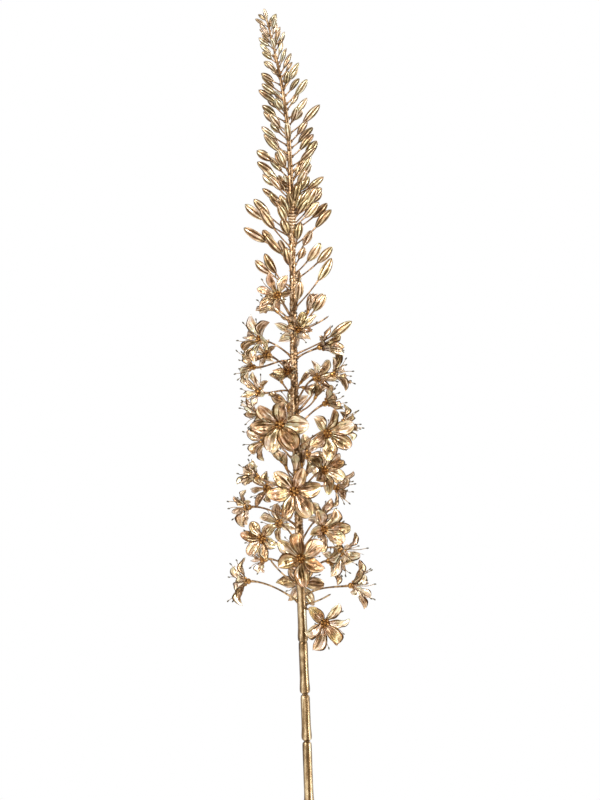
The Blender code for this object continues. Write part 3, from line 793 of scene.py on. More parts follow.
def petal_point(bloom, axes, petal, share, across):
    """A point of a petal: share of its length, and across from -1 to 1."""
    face = axes[2]
    out, sideways = petal_directions(axes, petal)
    rise, curl = petal_arc(bloom, petal)
    slope = rise + curl * share
    distance = PETAL_ROOT[0] + petal.length * (math.sin(slope) - math.sin(rise)) / curl
    height = PETAL_ROOT[1] - petal.length * (math.cos(slope) - math.cos(rise)) / curl
    outline = math.sin(math.pi * share**PETAL_SKEW) ** PETAL_FULLNESS if 0 < share < 1 else 0.0
    half_width = (PETAL_WIDTH[0] + PETAL_WIDTH[1] * petal.length) / 2 * outline
    surface = face * math.cos(slope) - out * math.sin(slope)
    raised = surface * (PETAL_CUP * half_width * across * across)
    return middle_of(bloom) + out * distance + face * height + sideways * half_width * across + raised


def stamen_line(bloom, axes, stamen):
    """A thread's foot and its tip."""
    face = axes[2]
    out = petal_directions(axes, stamen)[0]
    lean = math.radians(stamen.lean)
    foot = middle_of(bloom) + out * STAMEN_FOOT
    return foot, foot + (out * math.sin(lean) + face * math.cos(lean)) * stamen.length


PETAL_LENGTH_SAMPLES = (0.3, 0.44, 0.58, 0.72, 0.86, 0.96)
PETAL_WIDTH_SAMPLES = (-1, -0.5, 0, 0.5, 1)
PETAL_SAMPLES = [(share, across) for share in PETAL_LENGTH_SAMPLES for across in PETAL_WIDTH_SAMPLES]
STAMEN_SAMPLES = (0.3, 0.45, 0.6, 0.75, 0.9, 1.0)
BUD_SAMPLES = (0.15, 0.4, 0.65, 0.9)
BUD_RIM_SAMPLES = 4
STALK_SAMPLES = 16
STALK_SAMPLES_INSIDE = 2  # the ones in and next to the stem
OWN_STALK_SAMPLES = 5  # the ones next to the flower, which its own petals may come near


def petal_samples(bloom, axes, petal):
    return (petal_point(bloom, axes, petal, *sample) for sample in PETAL_SAMPLES)


def stamen_samples(bloom, axes, stamen):
    foot, tip = stamen_line(bloom, axes, stamen)
    return (foot.lerp(tip, share) for share in STAMEN_SAMPLES)


print("Each petal is tested at", len(PETAL_SAMPLES), "points")


# %% The search for room
def stalk_and_bud_points():
    """Points that the flowers keep clear of: buds, their stalks, and the flowers' stalks and middles."""
    points = []
    for bud in BUDS:
        root, middle, neck, course = bud_course(bud)
        side = course.orthogonal().normalized()
        for share in BUD_SAMPLES:
            radius = bud.radius * math.sin(math.pi * share) ** 0.5
            heart = neck + course * bud.length * share
            rim = ring(heart, side, course.cross(side), radius, BUD_RIM_SAMPLES)
            places = (root.lerp(middle, share), middle.lerp(neck, share), *rim)
            points += [("bud", place) for place in places]
    for number, bloom in enumerate(BLOOMS):
        course = stalk_course(bloom, STALK_SAMPLES)
        points += [("stalk", point) for point in course[STALK_SAMPLES_INSIDE:-OWN_STALK_SAMPLES]]
        points += [(number, point) for point in (*course[-OWN_STALK_SAMPLES:], middle_of(bloom))]
    return points


def crowd_of(points):
    """A search tree over (owner, point) pairs, and the owners."""
    tree = kdtree.KDTree(len(points))
    for index, (_, point) in enumerate(points):
        tree.insert(point, index)
    tree.balance()
    return tree, [owner for owner, _ in points]


def room(samples, crowd, owner, enough):
    """How far points are from the stem and the others' points. It stops once that is no more than enough."""
    tree, owners = crowd
    nearest = CLEARANCE
    for point in samples:
        nearest = min(nearest, (point.xy - stem_at(point.z).xy).length - at_share(STEM_RADII, point.z))
        for _, index, distance in tree.find_range(point, CLEARANCE):
            if owners[index] != owner:
                nearest = min(nearest, distance)
        if nearest <= enough:
            break
    return nearest


def roomiest(choices, samples_of, crowd, owner):
    """The first choice that is clear of the crowd, or else the one that is furthest from it."""
    best, most = None, -math.inf
    for choice in choices:
        free = room(samples_of(choice), crowd, owner, most)
        if free > most:
            best, most = choice, free
        if free >= CLEARANCE:
            break
    return best


def varied(draw, spread):
    return draw.uniform(-spread, spread)


def plan_flowers():
    """Settles every petal and thread. A crowded one bends, swings or shortens until it is clear."""
    points = stalk_and_bud_points()
    flowers = []
    for number, bloom in enumerate(BLOOMS):
        axes = flower_axes(bloom)
        draw = random.Random(FLOWER_SEED + number)
        crowd = crowd_of(points)
        petals, stamens = [], []
        for k in range(PETALS):
            angle, bend, length = PETAL_VARIES
            plain = Petal(
                angle=bloom.spin + 360 * k / PETALS + varied(draw, angle),
                bend=varied(draw, bend) + PETAL_WHORLS[k % 2],
                length=bloom.petal * draw.uniform(*length),
            )
            choices = (
                Petal(plain.angle + sweep, plain.bend + bent, plain.length * size)
                for size in SIZES for bent in BENDS for sweep in SWEEPS
            )
            petals.append(roomiest(choices, partial(petal_samples, bloom, axes), crowd, number))
        for k in range(PETALS):
            angle, lean, length = STAMEN_VARIES
            plain = Stamen(
                angle=bloom.spin + 360 * (k + 0.5) / PETALS + varied(draw, angle),
                lean=STAMEN_LEAN - bloom.lift * STAMEN_CLOSES + varied(draw, lean),
                length=bloom.petal * STAMEN_REACH * draw.uniform(*length),
            )
            choices = (
                Stamen(plain.angle, plain.lean + leant, plain.length * size)
                for size in SIZES for leant in LEANS
            )
            stamens.append(roomiest(choices, partial(stamen_samples, bloom, axes), crowd, number))
        flowers.append(Flower(bloom, axes, petals, stamens))
        points += [(number, point) for petal in petals for point in petal_samples(bloom, axes, petal)]
        points += [(number, point) for stamen in stamens for point in stamen_samples(bloom, axes, stamen)]
    return flowers


SHRUNK = 0.9  # a petal shorter than this share of its flower's length was made smaller by the search
flowers = plan_flowers()
shrunk = sum(petal.length < SHRUNK * flower.bloom.petal for flower in flowers for petal in flower.petals)
print("All petals are placed;", shrunk, "had to shrink for want of room")

# %% [markdown]
# ## Growing shapes from bare points
# Every repeated piece is made the same way. A mesh of bare points at the origin carries one point for each
# petal, stalk or bud, and that point's attributes say where it is and how large. A tree puts a flat sheet
# of faces on each point, and one formula then moves every corner of the sheets to its place on the petal,
# tube or bud. The seam and the ends close because corners that meet are merged. One tree and one formula
# make hundreds of different petals. Faces have to point outwards, so where a formula rolls its sheet up
# inside out, the tree flips them.

# %% Bare points, and running a tree on them
def bare_points(name, rows):
    """A mesh of points at the origin, each with one row's values as attributes."""
    data = bpy.data.meshes.new(name)
    data.from_pydata([(0, 0, 0)] * len(rows), [], [])
    for key, value in rows[0].items():
        vector = isinstance(value, Vector)
        layer = data.attributes.new(key, "FLOAT_VECTOR" if vector else "FLOAT", "POINT")
        values = np.array([tuple(row[key]) if vector else row[key] for row in rows], dtype=np.float32)
        layer.data.foreach_set("vector" if vector else "value", values.ravel())
    return data


def new_tree(name, sizes, finishes):
    """A Geometry Nodes tree with a named input for each size and each material."""
    tree = bpy.data.node_groups.new(name, "GeometryNodeTree")
    tree.is_modifier = True
    tree.interface.new_socket("Geometry", in_out="INPUT", socket_type="NodeSocketGeometry")
    tree.interface.new_socket("Geometry", in_out="OUTPUT", socket_type="NodeSocketGeometry")
    for size, value in sizes.items():
        kind = "NodeSocketInt" if isinstance(value, int) else "NodeSocketFloat"
        tree.interface.new_socket(size, in_out="INPUT", socket_type=kind)
    for finish in finishes:
        tree.interface.new_socket(finish, in_out="INPUT", socket_type="NodeSocketMaterial")
    return tree, tree.nodes.new("NodeGroupInput").outputs


def grow(name, seeds, tree, settings):
    """Runs a tree on a mesh and returns the result as an object with a plain mesh."""
    thing = bpy.data.objects.new(name, seeds)
    bpy.context.scene.collection.objects.link(thing)
    modifier = thing.modifiers.new(tree.name, "NODES")
    modifier.node_group = tree
    for item in tree.interface.items_tree:
        if item.in_out == "INPUT" and item.name in settings:
            modifier[item.identifier] = settings[item.name]
    plain = bpy.data.meshes.new_from_object(thing.evaluated_get(bpy.context.evaluated_depsgraph_get()))
    thing.modifiers.clear()
    thing.data = plain
    plain.name = name
    plain.shade_smooth()
    bpy.data.meshes.remove(seeds)
    return thing


def triangles_of(thing):
    """How many triangles a piece makes once its faces are split into triangles."""
    return sum(len(face.vertices) - 2 for face in thing.data.polygons)


print("Points can now carry values into a tree")


# %% What the trees are put together from
SEAM = 0.000001  # corners nearer than this are one, in metres
ANY_TURN = 6.28  # in radians; times a chance, it turns or shifts a shape in its own way


def stored(tree, name, kind="FLOAT"):
    """An attribute of the bare points, as a field."""
    node = add_node(tree, "GeometryNodeInputNamedAttribute", {"Name": name}, data_type=kind)
    return Field(pick(node.outputs, "Attribute"))


def numbers(tree, *names):
    """Attributes of the bare points that are numbers."""
    return [stored(tree, name) for name in names]


def vectors(tree, *names):
    """Attributes of the bare points that are places and directions."""
    return [stored(tree, name, "FLOAT_VECTOR") for name in names]


def on_points(tree, seeds, chosen, shape):
    """A shape on each point whose chosen attribute is 1, as real faces that keep the point's attributes."""
    inputs = {"Points": seeds, "Selection": stored(tree, chosen), "Instance": shape}
    node = add_node(tree, "GeometryNodeInstanceOnPoints", inputs)
    return add_node(tree, "GeometryNodeRealizeInstances", {"Geometry": node.outputs[0]}).outputs[0]


def sheet_faces(tree, around, along):
    """A flat sheet of faces, one unit wide and long."""
    inputs = {"Size X": 1.0, "Size Y": 1.0, "Vertices X": around, "Vertices Y": along}
    return add_node(tree, "GeometryNodeMeshGrid", inputs).outputs["Mesh"]


def ball_faces(tree, segments, rings):
    """A ball of faces whose radius is one unit."""
    inputs = {"Segments": segments, "Rings": rings, "Radius": 1.0}
    return add_node(tree, "GeometryNodeMeshUVSphere", inputs).outputs["Mesh"]


def marked(tree, geometry, name, value, domain="POINT"):
    """The geometry with a number at each point, which the finish reads."""
    inputs = {"Geometry": geometry, "Name": name, "Value": value}
    settings = {"data_type": "FLOAT", "domain": domain}
    return add_node(tree, "GeometryNodeStoreNamedAttribute", inputs, **settings).outputs[0]


def shaped(tree, geometry, place, marks, inside_out=False):
    """Stores the marks, moves the corners to their places in millimetres, and closes the seams."""
    for name, value in marks.items():
        geometry = marked(tree, geometry, name, value)
    inputs = {"Geometry": geometry, "Position": place * MM}
    geometry = add_node(tree, "GeometryNodeSetPosition", inputs).outputs[0]
    if inside_out:
        geometry = add_node(tree, "GeometryNodeFlipFaces", {"Mesh": geometry}).outputs[0]
    inputs = {"Geometry": geometry, "Distance": SEAM}
    return add_node(tree, "GeometryNodeMergeByDistance", inputs).outputs[0]


def close_tree(tree, parts, finishes):
    """Joins the parts and ends the tree in Realize Instances and Set Material."""
    joined = add_node(tree, "GeometryNodeJoinGeometry")
    for part in parts:
        tree.links.new(part, joined.inputs[0])
    geometry = add_node(tree, "GeometryNodeRealizeInstances", {"Geometry": joined.outputs[0]}).outputs[0]
    for chosen, material in finishes:
        inputs = {"Geometry": geometry, "Material": material}
        if chosen:
            inputs["Selection"] = work_out("GREATER_THAN", stored(tree, chosen), 0.5)
        geometry = add_node(tree, "GeometryNodeSetMaterial", inputs).outputs[0]
    end = add_node(tree, "NodeGroupOutput")
    tree.links.new(geometry, end.inputs[0])


def corner_place(tree):
    """Where a corner is: on its flat sheet or its ball before it is moved."""
    return Field(add_node(tree, "GeometryNodeInputPosition").outputs[0])


def sheet_fields(tree):
    """A corner's place on its flat sheet: once around from 0 to 1, and along from 0 to 1."""
    x, y, _ = parts_of(tree, corner_place(tree))
    return x + 0.5, y + 0.5


def crossed(a, b):
    """The direction square to two others."""
    return work_out("CROSS_PRODUCT", a, b)


def unit(vector):
    """A direction of length 1."""
    return work_out("NORMALIZE", vector)


def around_axis(side, over, turn):
    """The direction of a turn about an axis that starts at side and passes over."""
    return side * cosine(turn) + over * sine(turn)


def own_wave(value, chance, wave):
    """A wave along a value that starts elsewhere on each petal or stalk."""
    often, apart, most = wave
    return sine(value * often + chance * apart) * most


def ends_shut(share):
    """1 along a tube, and 0 at its two ends, where it closes to a point."""
    return work_out("GREATER_THAN", share, 0.001) * work_out("LESS_THAN", share, 0.999)


print("Trees are ready to be built")

# %% [markdown]
# ## Vase
# Nothing of the vase is in the photograph, which ends above it, so it is the plainest that would hold this
# stem: a bottle with a narrow neck, which keeps a tall heavy spike upright. It was thrown on a wheel, so
# its outline is one profile turned about an axis. A lathe in code does the same with many more steps than
# its solid has, and rounds the lip and the foot. The foot ring is left bare, because glaze would stick to
# the kiln's shelf.

# %% The vase's profile
VASE_SEGMENTS = 96
VASE_STEPS = 7  # between two points of the profile
# Radius and height
VASE_OUTSIDE = (
    (40, 3), (48, 35), (51, 75), (47, 118), (33, 158), (19, 192), (12.8, 225), (12.6, 250), (16, 268.5),
)
VASE_LIP = ((16, 268.5), (15.7, 269.6), (15.1, 270), (14.4, 269.6), (13.2, 267.4))
VASE_BORE = (
    (13.2, 267.4), (10, 262), (NECK_BORE, 248), (8.6, 225), (14, 192), (28, 158), (42, 118), (46, 75),
    (40, 16), (31, VASE_FLOOR),
)
VASE_FOOT = ((0, 1.2), (30, 1.2), (31.4, 0.8), (32.2, 0.0), (37.0, 0.0), (38.6, 0.7), (40, 3))
SHARP_EDGE = 50  # degrees between two faces whose edge isn't smoothed


def vase_profile():
    """Radius and height up the outside, over the lip and down the inside, with the foot ring first."""
    profile = list(VASE_FOOT)
    for part in (VASE_OUTSIDE, VASE_LIP, VASE_BORE):
        curve = smooth_line([(radius, 0, height) for radius, height in part], VASE_STEPS)
        profile += [(point.x, point.z) for point in curve[1:]]
    return [*profile, (0, VASE_FLOOR)]


def lathe(name, profile, segments):
    """A closed shape turned about Z, whose profile starts and ends on the axis."""
    corners, faces, rows = [], [], []
    for radius, height in profile:
        if radius == 0:
            rows.append([len(corners)] * segments)
            corners.append((0, 0, height * MM))
            continue
        rows.append(list(range(len(corners), len(corners) + segments)))
        for i in range(segments):
            turn = FULL_TURN * i / segments
            corners.append((radius * math.cos(turn) * MM, radius * math.sin(turn) * MM, height * MM))
    for low, high in zip(rows, rows[1:]):
        for i in range(segments):
            j = (i + 1) % segments
            faces.append(list(dict.fromkeys((low[i], low[j], high[j], high[i]))))
    data = bpy.data.meshes.new(name)
    data.from_pydata(corners, [], faces)
    data.shade_smooth()
    data.set_sharp_from_angle(angle=math.radians(SHARP_EDGE))
    thing = bpy.data.objects.new(name, data)
    bpy.context.scene.collection.objects.link(thing)
    return thing


vase = lathe("vase_glazed", vase_profile(), VASE_SEGMENTS)
print("The vase has", triangles_of(vase), "triangles")

# %% Glaze and bare clay
GLAZE_GREY = paint(146, 139, 123)
GLAZE_PALE = paint(158, 151, 135)
IRON_SPECK = paint(84, 64, 44)
THIN_GLAZE = paint(112, 82, 54)
CLAY = paint(136, 104, 74)
# Per metre
GLAZE_CLOUDS = 34
SPECKS = 620
WHEEL_MARKS = (2.0, 2.0, 90.0)  # how much closer they lie up the wall than round it
# From and to, in metres up
LIP_THINS = (0.2662, 0.2698)
FOOT_GLAZED = (0.0022, 0.0032)
GLAZE_EDGE = 0.002  # how far its lower edge wavers, in metres


def glaze_finish():
    material, tree, shader = new_finish("vase_glaze")
    place = object_place(tree)
    height = parts_of(tree, place)[2]
    cloud = noise(tree, place, GLAZE_CLOUDS, 4.0)
    speck = noise(tree, place, SPECKS, 1.0)
    turning = noise(tree, work_out("MULTIPLY", place, WHEEL_MARKS), 1.6, 2.0)
    colour = mixed(tree, smooth_step(cloud, 0.25, 0.75), GLAZE_GREY, GLAZE_PALE)
    colour = mixed(tree, smooth_step(speck, 0.66, 0.74) * 0.7, colour, IRON_SPECK)
    colour = mixed(tree, smooth_step(height, *LIP_THINS) * 0.5, colour, THIN_GLAZE)
    clay = smooth_step(height + swing(cloud, GLAZE_EDGE), *FOOT_GLAZED, 1.0, 0.0)
    inputs = {
        "Base Color": mixed(tree, clay, colour, CLAY),
        "Roughness": smooth_step(clay, 0.4, 0.6, 0.22, 0.8) + swing(cloud, 0.1),
        "Normal": bump(tree, turning + clay * speck * 0.3, 0.35, 0.0012),
    }
    finish_surface(tree, shader, inputs, Coat_Weight=0.3, Coat_Roughness=0.1)
    return material


vase_glaze = glaze_finish()
vase.data.materials.append(vase_glaze)
print("vase_glaze has", len(vase_glaze.node_tree.nodes), "nodes")

# %% [markdown]
# ## Stem
# The bare lower stem is glossy, with a groove and a swelling at each joint, and a fat collar below the
# flowers. Above that its skin is rough with beads of paint, but for a short smooth stretch of rings below
# the tail. Furrows and low ridges run all along it. A line of points with a thickness each runs up its
# course; the tree turns it into a curve and sweeps a circle along it, which is the plain way to make
# anything that follows a path. Small noises then unsettle the skin, and beads are scattered on the rough
# stretch.

# %% The stem's line
STEM_SIDES = 40
STEM_SPACING = 1.6
JOINT_SPACING = np.arange(-2.4, 2.5, 0.4)  # the rows round a joint, from its middle
RING_SPACING = 0.375
JOINTS = ((291, 1.0), (359, 1.0), (406, 1.0), (458.5, 0.35))  # height, and how strongly it shows
# Share of the radius in the groove, and half its height; share of it in the swelling, and half its height
JOINT_SHAPE = (0.66, 1.1, 1.13, 7.0)
SWELLING_UP = 4  # how far the swelling's middle is above the groove
JOINT_ROUND = (0.10, 2.8)  # what the rounded ends beside the groove lose, and how far they reach
# The joint groove's browner tone is painted shade where the groove is sunk.
JOINT_PAINTED_SHADE = (0.75, 1.5)  # how much browner the groove is, and its half height
COLLAR = 517
COLLAR_SHAPE = (0.30, 6.0)  # what it adds to the radius, and its half height
ROUGH_BAND = (520, 950)
STEM_FULLER = (
    (250, 0.0), (290, 0.6), (520, 0.6), (600, 0.3), (855, 0.2), (872, 1.3), (900, 1.2), (915, 0.3),
    (980, 0.2), (STEM_TIP, 0.0),
)  # what its radius has more than the solid's, by height
RINGED = ((868, 0.0), (871, 0.4), (886, 0.4), (890, 0.15), (906, 0.0))  # how far the small rings stand out
RINGS_APART = 3.0
# On the ringed stretch the tone is paler, with painted highlights on each ring and painted shade between
# rings.
RING_TONE_AND_PAINTED_LIGHT = (1.2, 1.6)  # how much paler the ringed stretch is, and how much more so its rings


def ring_wave(height):
    """1 on a ring and -1 between two."""
    return math.cos(FULL_TURN * height / RINGS_APART)


def stem_radius(height):
    """The stem's radius with its joints, rings and collar."""
    radius = at_share(STEM_RADII, height) + at_share(STEM_FULLER, height)
    radius += at_share(RINGED, height) * ring_wave(height)
    groove, narrow, swelling, tall = JOINT_SHAPE
    for joint, strength in JOINTS:
        up = height - joint
        radius *= 1 - strength * (1 - groove) * math.exp(-((up / narrow) ** 2))
        radius *= 1 - strength * JOINT_ROUND[0] * math.exp(-((up / JOINT_ROUND[1]) ** 2))
        if up > 0:
            radius *= 1 + (swelling - 1) * math.exp(-(((up - SWELLING_UP) / tall) ** 2))
    gain, tall = COLLAR_SHAPE
    return radius * (1 + gain * math.exp(-(((height - COLLAR) / tall) ** 2)))


def stem_shade(height):
    """How much paler the ringed stretch is, with painted highlights on its rings and painted shade between
    them, less the painted shade in the joints' grooves.
    """
    paler, painted_ring_light = RING_TONE_AND_PAINTED_LIGHT
    most, half = JOINT_PAINTED_SHADE
    browner = max(strength * math.exp(-(((height - joint) / half) ** 2)) for joint, strength in JOINTS)
    return at_share(RINGED, height) * (paler + painted_ring_light * ring_wave(height)) - most * browner


def stem_line_mesh():
    """A line of points up the stem, each with its radius, close together at the joints and rings."""
    plain = np.arange(STEM_FOOT, STEM_TIP, STEM_SPACING)
    ringed = np.arange(RINGED[0][0], RINGED[-1][0], RING_SPACING)
    jointed = (joint + up for joint, _ in JOINTS for up in JOINT_SPACING)
    heights = sorted({*plain, *ringed, *jointed, STEM_TIP})
    places = [tuple(stem_at(height) * MM) for height in heights]
    data = bpy.data.meshes.new("stem line")
    data.from_pydata(places, [(i, i + 1) for i in range(len(heights) - 1)], [])
    radii = [stem_radius(height) * MM for height in heights]
    shades = [stem_shade(height) for height in heights]
    for name, values in (("thickness", radii), ("shade", shades)):
        layer = data.attributes.new(name, "FLOAT", "POINT")
        layer.data.foreach_set("value", values)
    return data


print("The stem's joints are at", [height for height, _ in JOINTS], "mm")


# %% The stem's tree
STEM_SETTINGS = {
    "Sides": STEM_SIDES, "Unevenness": 0.00028, "Beads per square metre": 130000.0, "Bead radius": 0.00078,
    "Rough from": ROUGH_BAND[0] * MM, "Rough to": ROUGH_BAND[1] * MM, "Seed": 6,
}
# Turn from the front and half width in degrees, and strength. In colour, the furrows are painted dark
# stripes of shade and the ridges painted highlights
FURROWS = ((16, 13, 1.0), (-72, 16, 0.7), (84, 14, 0.7), (150, 14, 0.9), (-140, 14, 0.9))
RIDGES = ((40, 12, 0.45), (-30, 16, 0.2), (-105, 18, 0.5), (180, 16, 0.5), (118, 14, 0.4))
FURROWS_WANDER = 24  # degrees
FULLY_ROUGH = (0.56, 0.86)  # in metres up
SMOOTH_RINGS = (0.864, 0.871, 0.885, 0.895)  # from, fully, until and to, in metres up
RINGS_LOSE = (0.85, 0.7)  # shares of the roughness and of the furrows
# How often the skin changes across the stem, per metre, and the share of that along it
SLOW_WAVES = 260.0
SLOW_STRETCH = 0.12
LUMPS = 620.0
BEAD_SIZES = (0.5, 1.25)  # times the bead radius
BEAD_SHADES = (-0.9, 0.5)


def furrowed(tree, normal, wander):
    """How far the skin stands out in the lengthwise furrows and ridges, by the way it faces."""
    x, y, _ = parts_of(tree, normal)
    turn = work_out("ARCTAN2", x, 0.0 - y) * math.degrees(1) + wander
    total = 0.0
    sunk = ((middle, half, -strength) for middle, half, strength in FURROWS)
    for middle, half, strength in (*sunk, *RIDGES):
        away = work_out("WRAP", turn - middle, 180.0, -180.0) / half
        total = total + fading(0.0 - away * away) * strength
    return total


def swept_tube(tree, given):
    """A circle swept along the line of points, as thick as each point says."""
    curve = add_node(tree, "GeometryNodeMeshToCurve", {"Mesh": given["Geometry"]}).outputs[0]
    inputs = {"Resolution": given["Sides"], "Radius": 1.0}
    circle = add_node(tree, "GeometryNodeCurvePrimitiveCircle", inputs).outputs[0]
    inputs = {"Curve": curve, "Profile Curve": circle, "Scale": stored(tree, "thickness"), "Fill Caps": True}
    return add_node(tree, "GeometryNodeCurveToMesh", inputs).outputs[0]


def random_value(tree, low, high, seed):
    """A number for each instance, drawn between low and high."""
    inputs = {"Min": low, "Max": high, "Seed": seed}
    return pick(add_node(tree, "FunctionNodeRandomValue", inputs, data_type="FLOAT").outputs, "Value")


def scattered_beads(tree, given, tube, roughness):
    """Beads of paint where the skin is rough, each with a size and a shade of its own."""
    density = roughness * Field(given["Beads per square metre"])
    inputs = {"Mesh": tube, "Density": density, "Seed": given["Seed"]}
    spots = add_node(tree, "GeometryNodeDistributePointsOnFaces", inputs).outputs["Points"]
    inputs = {"Radius": given["Bead radius"], "Subdivisions": 1}
    bead = add_node(tree, "GeometryNodeMeshIcoSphere", inputs).outputs[0]
    inputs = {"Points": spots, "Instance": bead, "Scale": random_value(tree, *BEAD_SIZES, given["Seed"])}
    beads = add_node(tree, "GeometryNodeInstanceOnPoints", inputs).outputs[0]
    return marked(tree, beads, "crest", random_value(tree, *BEAD_SHADES, given["Seed"]), "INSTANCE")


def build_stem_tree():
    tree, given = new_tree("swept stem", STEM_SETTINGS, ("Finish",))
    tube = swept_tube(tree, given)
    place = corner_place(tree)
    height = parts_of(tree, place)[2]
    ringed = smooth_band(height, *SMOOTH_RINGS)
    less_rough, less_furrowed = RINGS_LOSE
    roughness = smooth_band(height, given["Rough from"], *FULLY_ROUGH, given["Rough to"])
    roughness = roughness * (1.0 - ringed * less_rough)
    slow = noise(tree, work_out("MULTIPLY", place, (1.0, 1.0, SLOW_STRETCH)), SLOW_WAVES, 1.0)
    lumps = noise(tree, place, LUMPS, 1.0)
    normal = Field(add_node(tree, "GeometryNodeInputNormal").outputs[0])
    ribbing_and_painted_light = furrowed(tree, normal, swing(slow, FURROWS_WANDER)) * (1.0 - roughness * 0.6)
    ribbing_and_painted_light = ribbing_and_painted_light * (1.0 - ringed * less_furrowed)
    push = swing(slow, 1.0) + swing(lumps, 4.4) * roughness + ribbing_and_painted_light * 0.7
    # The crest paints a dark stripe of shade into each furrow and highlights onto the ridges, on top of the
    # lumps' tone and the stored painted light of rings and joints.
    crest = push * (0.55 + roughness * 0.7) + ribbing_and_painted_light * 0.9 + stored(tree, "shade")
    tube = marked(tree, tube, "crest", crest)
    inputs = {"Geometry": tube, "Offset": normal * (push * Field(given["Unevenness"]))}
    tube = add_node(tree, "GeometryNodeSetPosition", inputs).outputs[0]
    close_tree(tree, [tube, scattered_beads(tree, given, tube, roughness)], [(None, given["Finish"])])
    return tree


stem_tree = build_stem_tree()
stem = grow("main_stem", stem_line_mesh(), stem_tree, {**STEM_SETTINGS, "Finish": gilt_stem})
print("The stem and its beads have", triangles_of(stem), "triangles")

# %% [markdown]
# ## Stalks
# Each flower and bud hangs on its own slender stalk, which springs from a small knob on the stem and bends
# towards the light. A Bezier curve needs only four points for that. The formula walks along the curve and
# round it, so one sheet of faces becomes a tube with a swollen foot and a widened end where the flower
# sits. A few stalks stand bare, and a dozen short ones carry flowers that are still half shut.

# %% The stalks' tree
STALK_SETTINGS = {
    "Rows around": 10, "Rows along": 17, "Slimmer": 0.86, "Foot swelling": 0.75, "End swelling": 0.9,
    "Knob": 1.9,
}
STALK_WAVER = (17, 30, 0.06)  # how it changes along a stalk and from stalk to stalk, and by which share
KNOB_TALL = 1.5  # times its width
KNOB_SHADE = -0.2
LEAST_SLANT = 0.35  # of a stalk against the stem, which keeps the knobs of steep stalks near their roots


def stem_skin(root, towards):
    """How far out along a stalk the stem's skin is."""
    slant = (towards - root).normalized().cross(stem_direction(root.z)).length
    return at_share(STEM_RADII, root.z) / max(slant, LEAST_SLANT)


def stalk_row(points, radius, end, draw):
    """One stalk: the four points of its curve, its radius, and how much it widens at its end."""
    a, b, c, d = points
    flat = (d - a).cross(b - a)
    flat = flat.normalized() if flat.length > 0.001 else (d - a).orthogonal().normalized()
    return {
        "a": a, "b": b, "c": c, "d": d, "flat": flat, "radius": radius, "end": end,
        "chance": draw.random(), "knob_out": stem_skin(a, b), "all": 1.0,
    }


def build_stalk_tree():
    tree, given = new_tree("bent stalks", STALK_SETTINGS, ("Finish",))
    around, share = sheet_fields(tree)
    a, b, c, d, flat = vectors(tree, "a", "b", "c", "d", "flat")
    radius, end, chance, knob_out = numbers(tree, "radius", "end", "chance", "knob_out")
    rest = 1.0 - share
    path = a * (rest**3) + b * (3.0 * share * rest**2) + c * (3.0 * share**2 * rest) + d * (share**3)
    course = (b - a) * (rest**2) + (c - b) * (2.0 * share * rest) + (d - c) * (share**2)
    over = unit(crossed(course, flat))
    side = unit(crossed(over, course))
    foot, widened = Field(given["Foot swelling"]), Field(given["End swelling"])
    waver = own_wave(share, chance, STALK_WAVER)
    swelling = 1.0 + foot * (rest**5) + widened * end * (share**7) + waver
    thickness = radius * Field(given["Slimmer"]) * swelling
    place = path + around_axis(side, over, around * FULL_TURN) * (thickness * ends_shut(share))
    faces = sheet_faces(tree, given["Rows around"], given["Rows along"])
    sheet = on_points(tree, given["Geometry"], "all", faces)
    tubes = shaped(tree, sheet, place, {"crest": waver * 4.0 - rest**6 * 0.5})
    x, y, z = parts_of(tree, corner_place(tree))
    start = unit(b - a)
    width = radius * Field(given["Knob"])
    place = a + start * knob_out + (flat * x + crossed(start, flat) * y) * width
    place = place + start * (z * width * KNOB_TALL)
    knob = on_points(tree, given["Geometry"], "all", ball_faces(tree, 8, 6))
    knobs = shaped(tree, knob, place, {"crest": KNOB_SHADE})
    close_tree(tree, [tubes, knobs], [(None, given["Finish"])])
    return tree


stalk_tree = build_stalk_tree()
print("The stalks' tree has", len(stalk_tree.nodes), "nodes")

# %% Bare stalks and half-shut flowers
Stub = namedtuple("Stub", "root x depth z radius")
STUBS = (
    Stub(515, -44, -22, 542, 1.0), Stub(495, 17, -12, 507, 1.0), Stub(680, -15, -7, 705, 1.2),
    Stub(768, 15, -10, 784, 0.9), Stub(789, -17, -8, 804, 1.5),
)  # bare stalks that have lost their buds, and where they end
CLOSED = (
    Bloom(-38, -16, 789, -70, 44, 13, 52, 10, 774), Bloom(-33, -17, 719, -40, 42, 14, 76, 30, 700),
    Bloom(-12, -12, 719, 60, 48, 12, 80, 20, 704), Bloom(-9, -11, 712, 70, -14, 11, 62, 0, 700),
    Bloom(-36, -14, 703, -60, 24, 11, 86, 0, 690), Bloom(2, -10, 704, 60, 62, 15, 78, 10, 684),
    Bloom(-28, -14, 634, -40, 66, 17, 82, 10, 616), Bloom(-18, -17, 629, -10, 78, 19, 84, 40, 610),
    Bloom(-7, -15, 627, 50, 58, 13, 74, 20, 606), Bloom(-12, -16, 637, -20, 84, 14, 84, 0, 616),
    Bloom(-6, -9, 789, 50, 72, 19, 84, 20, 772), Bloom(-33, -15, 640, -50, 50, 13, 80, 20, 620),
)  # flowers that are still half shut, close to the stem, which only this model has
print(len(STUBS), "stalks are bare, and", len(CLOSED), "carry half-shut flowers")

# %% Grow the stalks
STALK_SEED = 21
STALK_REACH = 2.6  # how far a flower's stalk runs on into the cup, which it only meets in the solids
CLOSED_STALK_RADIUS = 0.9
# How much of the end swelling each kind has
OPEN_END = 1.0
SMALL_END = 0.6
BARE_END = 0.1
STUB_CURVE = (0.2, 0.33, 0.7)  # how far it sags, and where its two pulls are along it
BUD_STALK_CURVE = (0.7, 0.25, 0.12)  # where its pulls are, and how far it runs into the bud, as shares


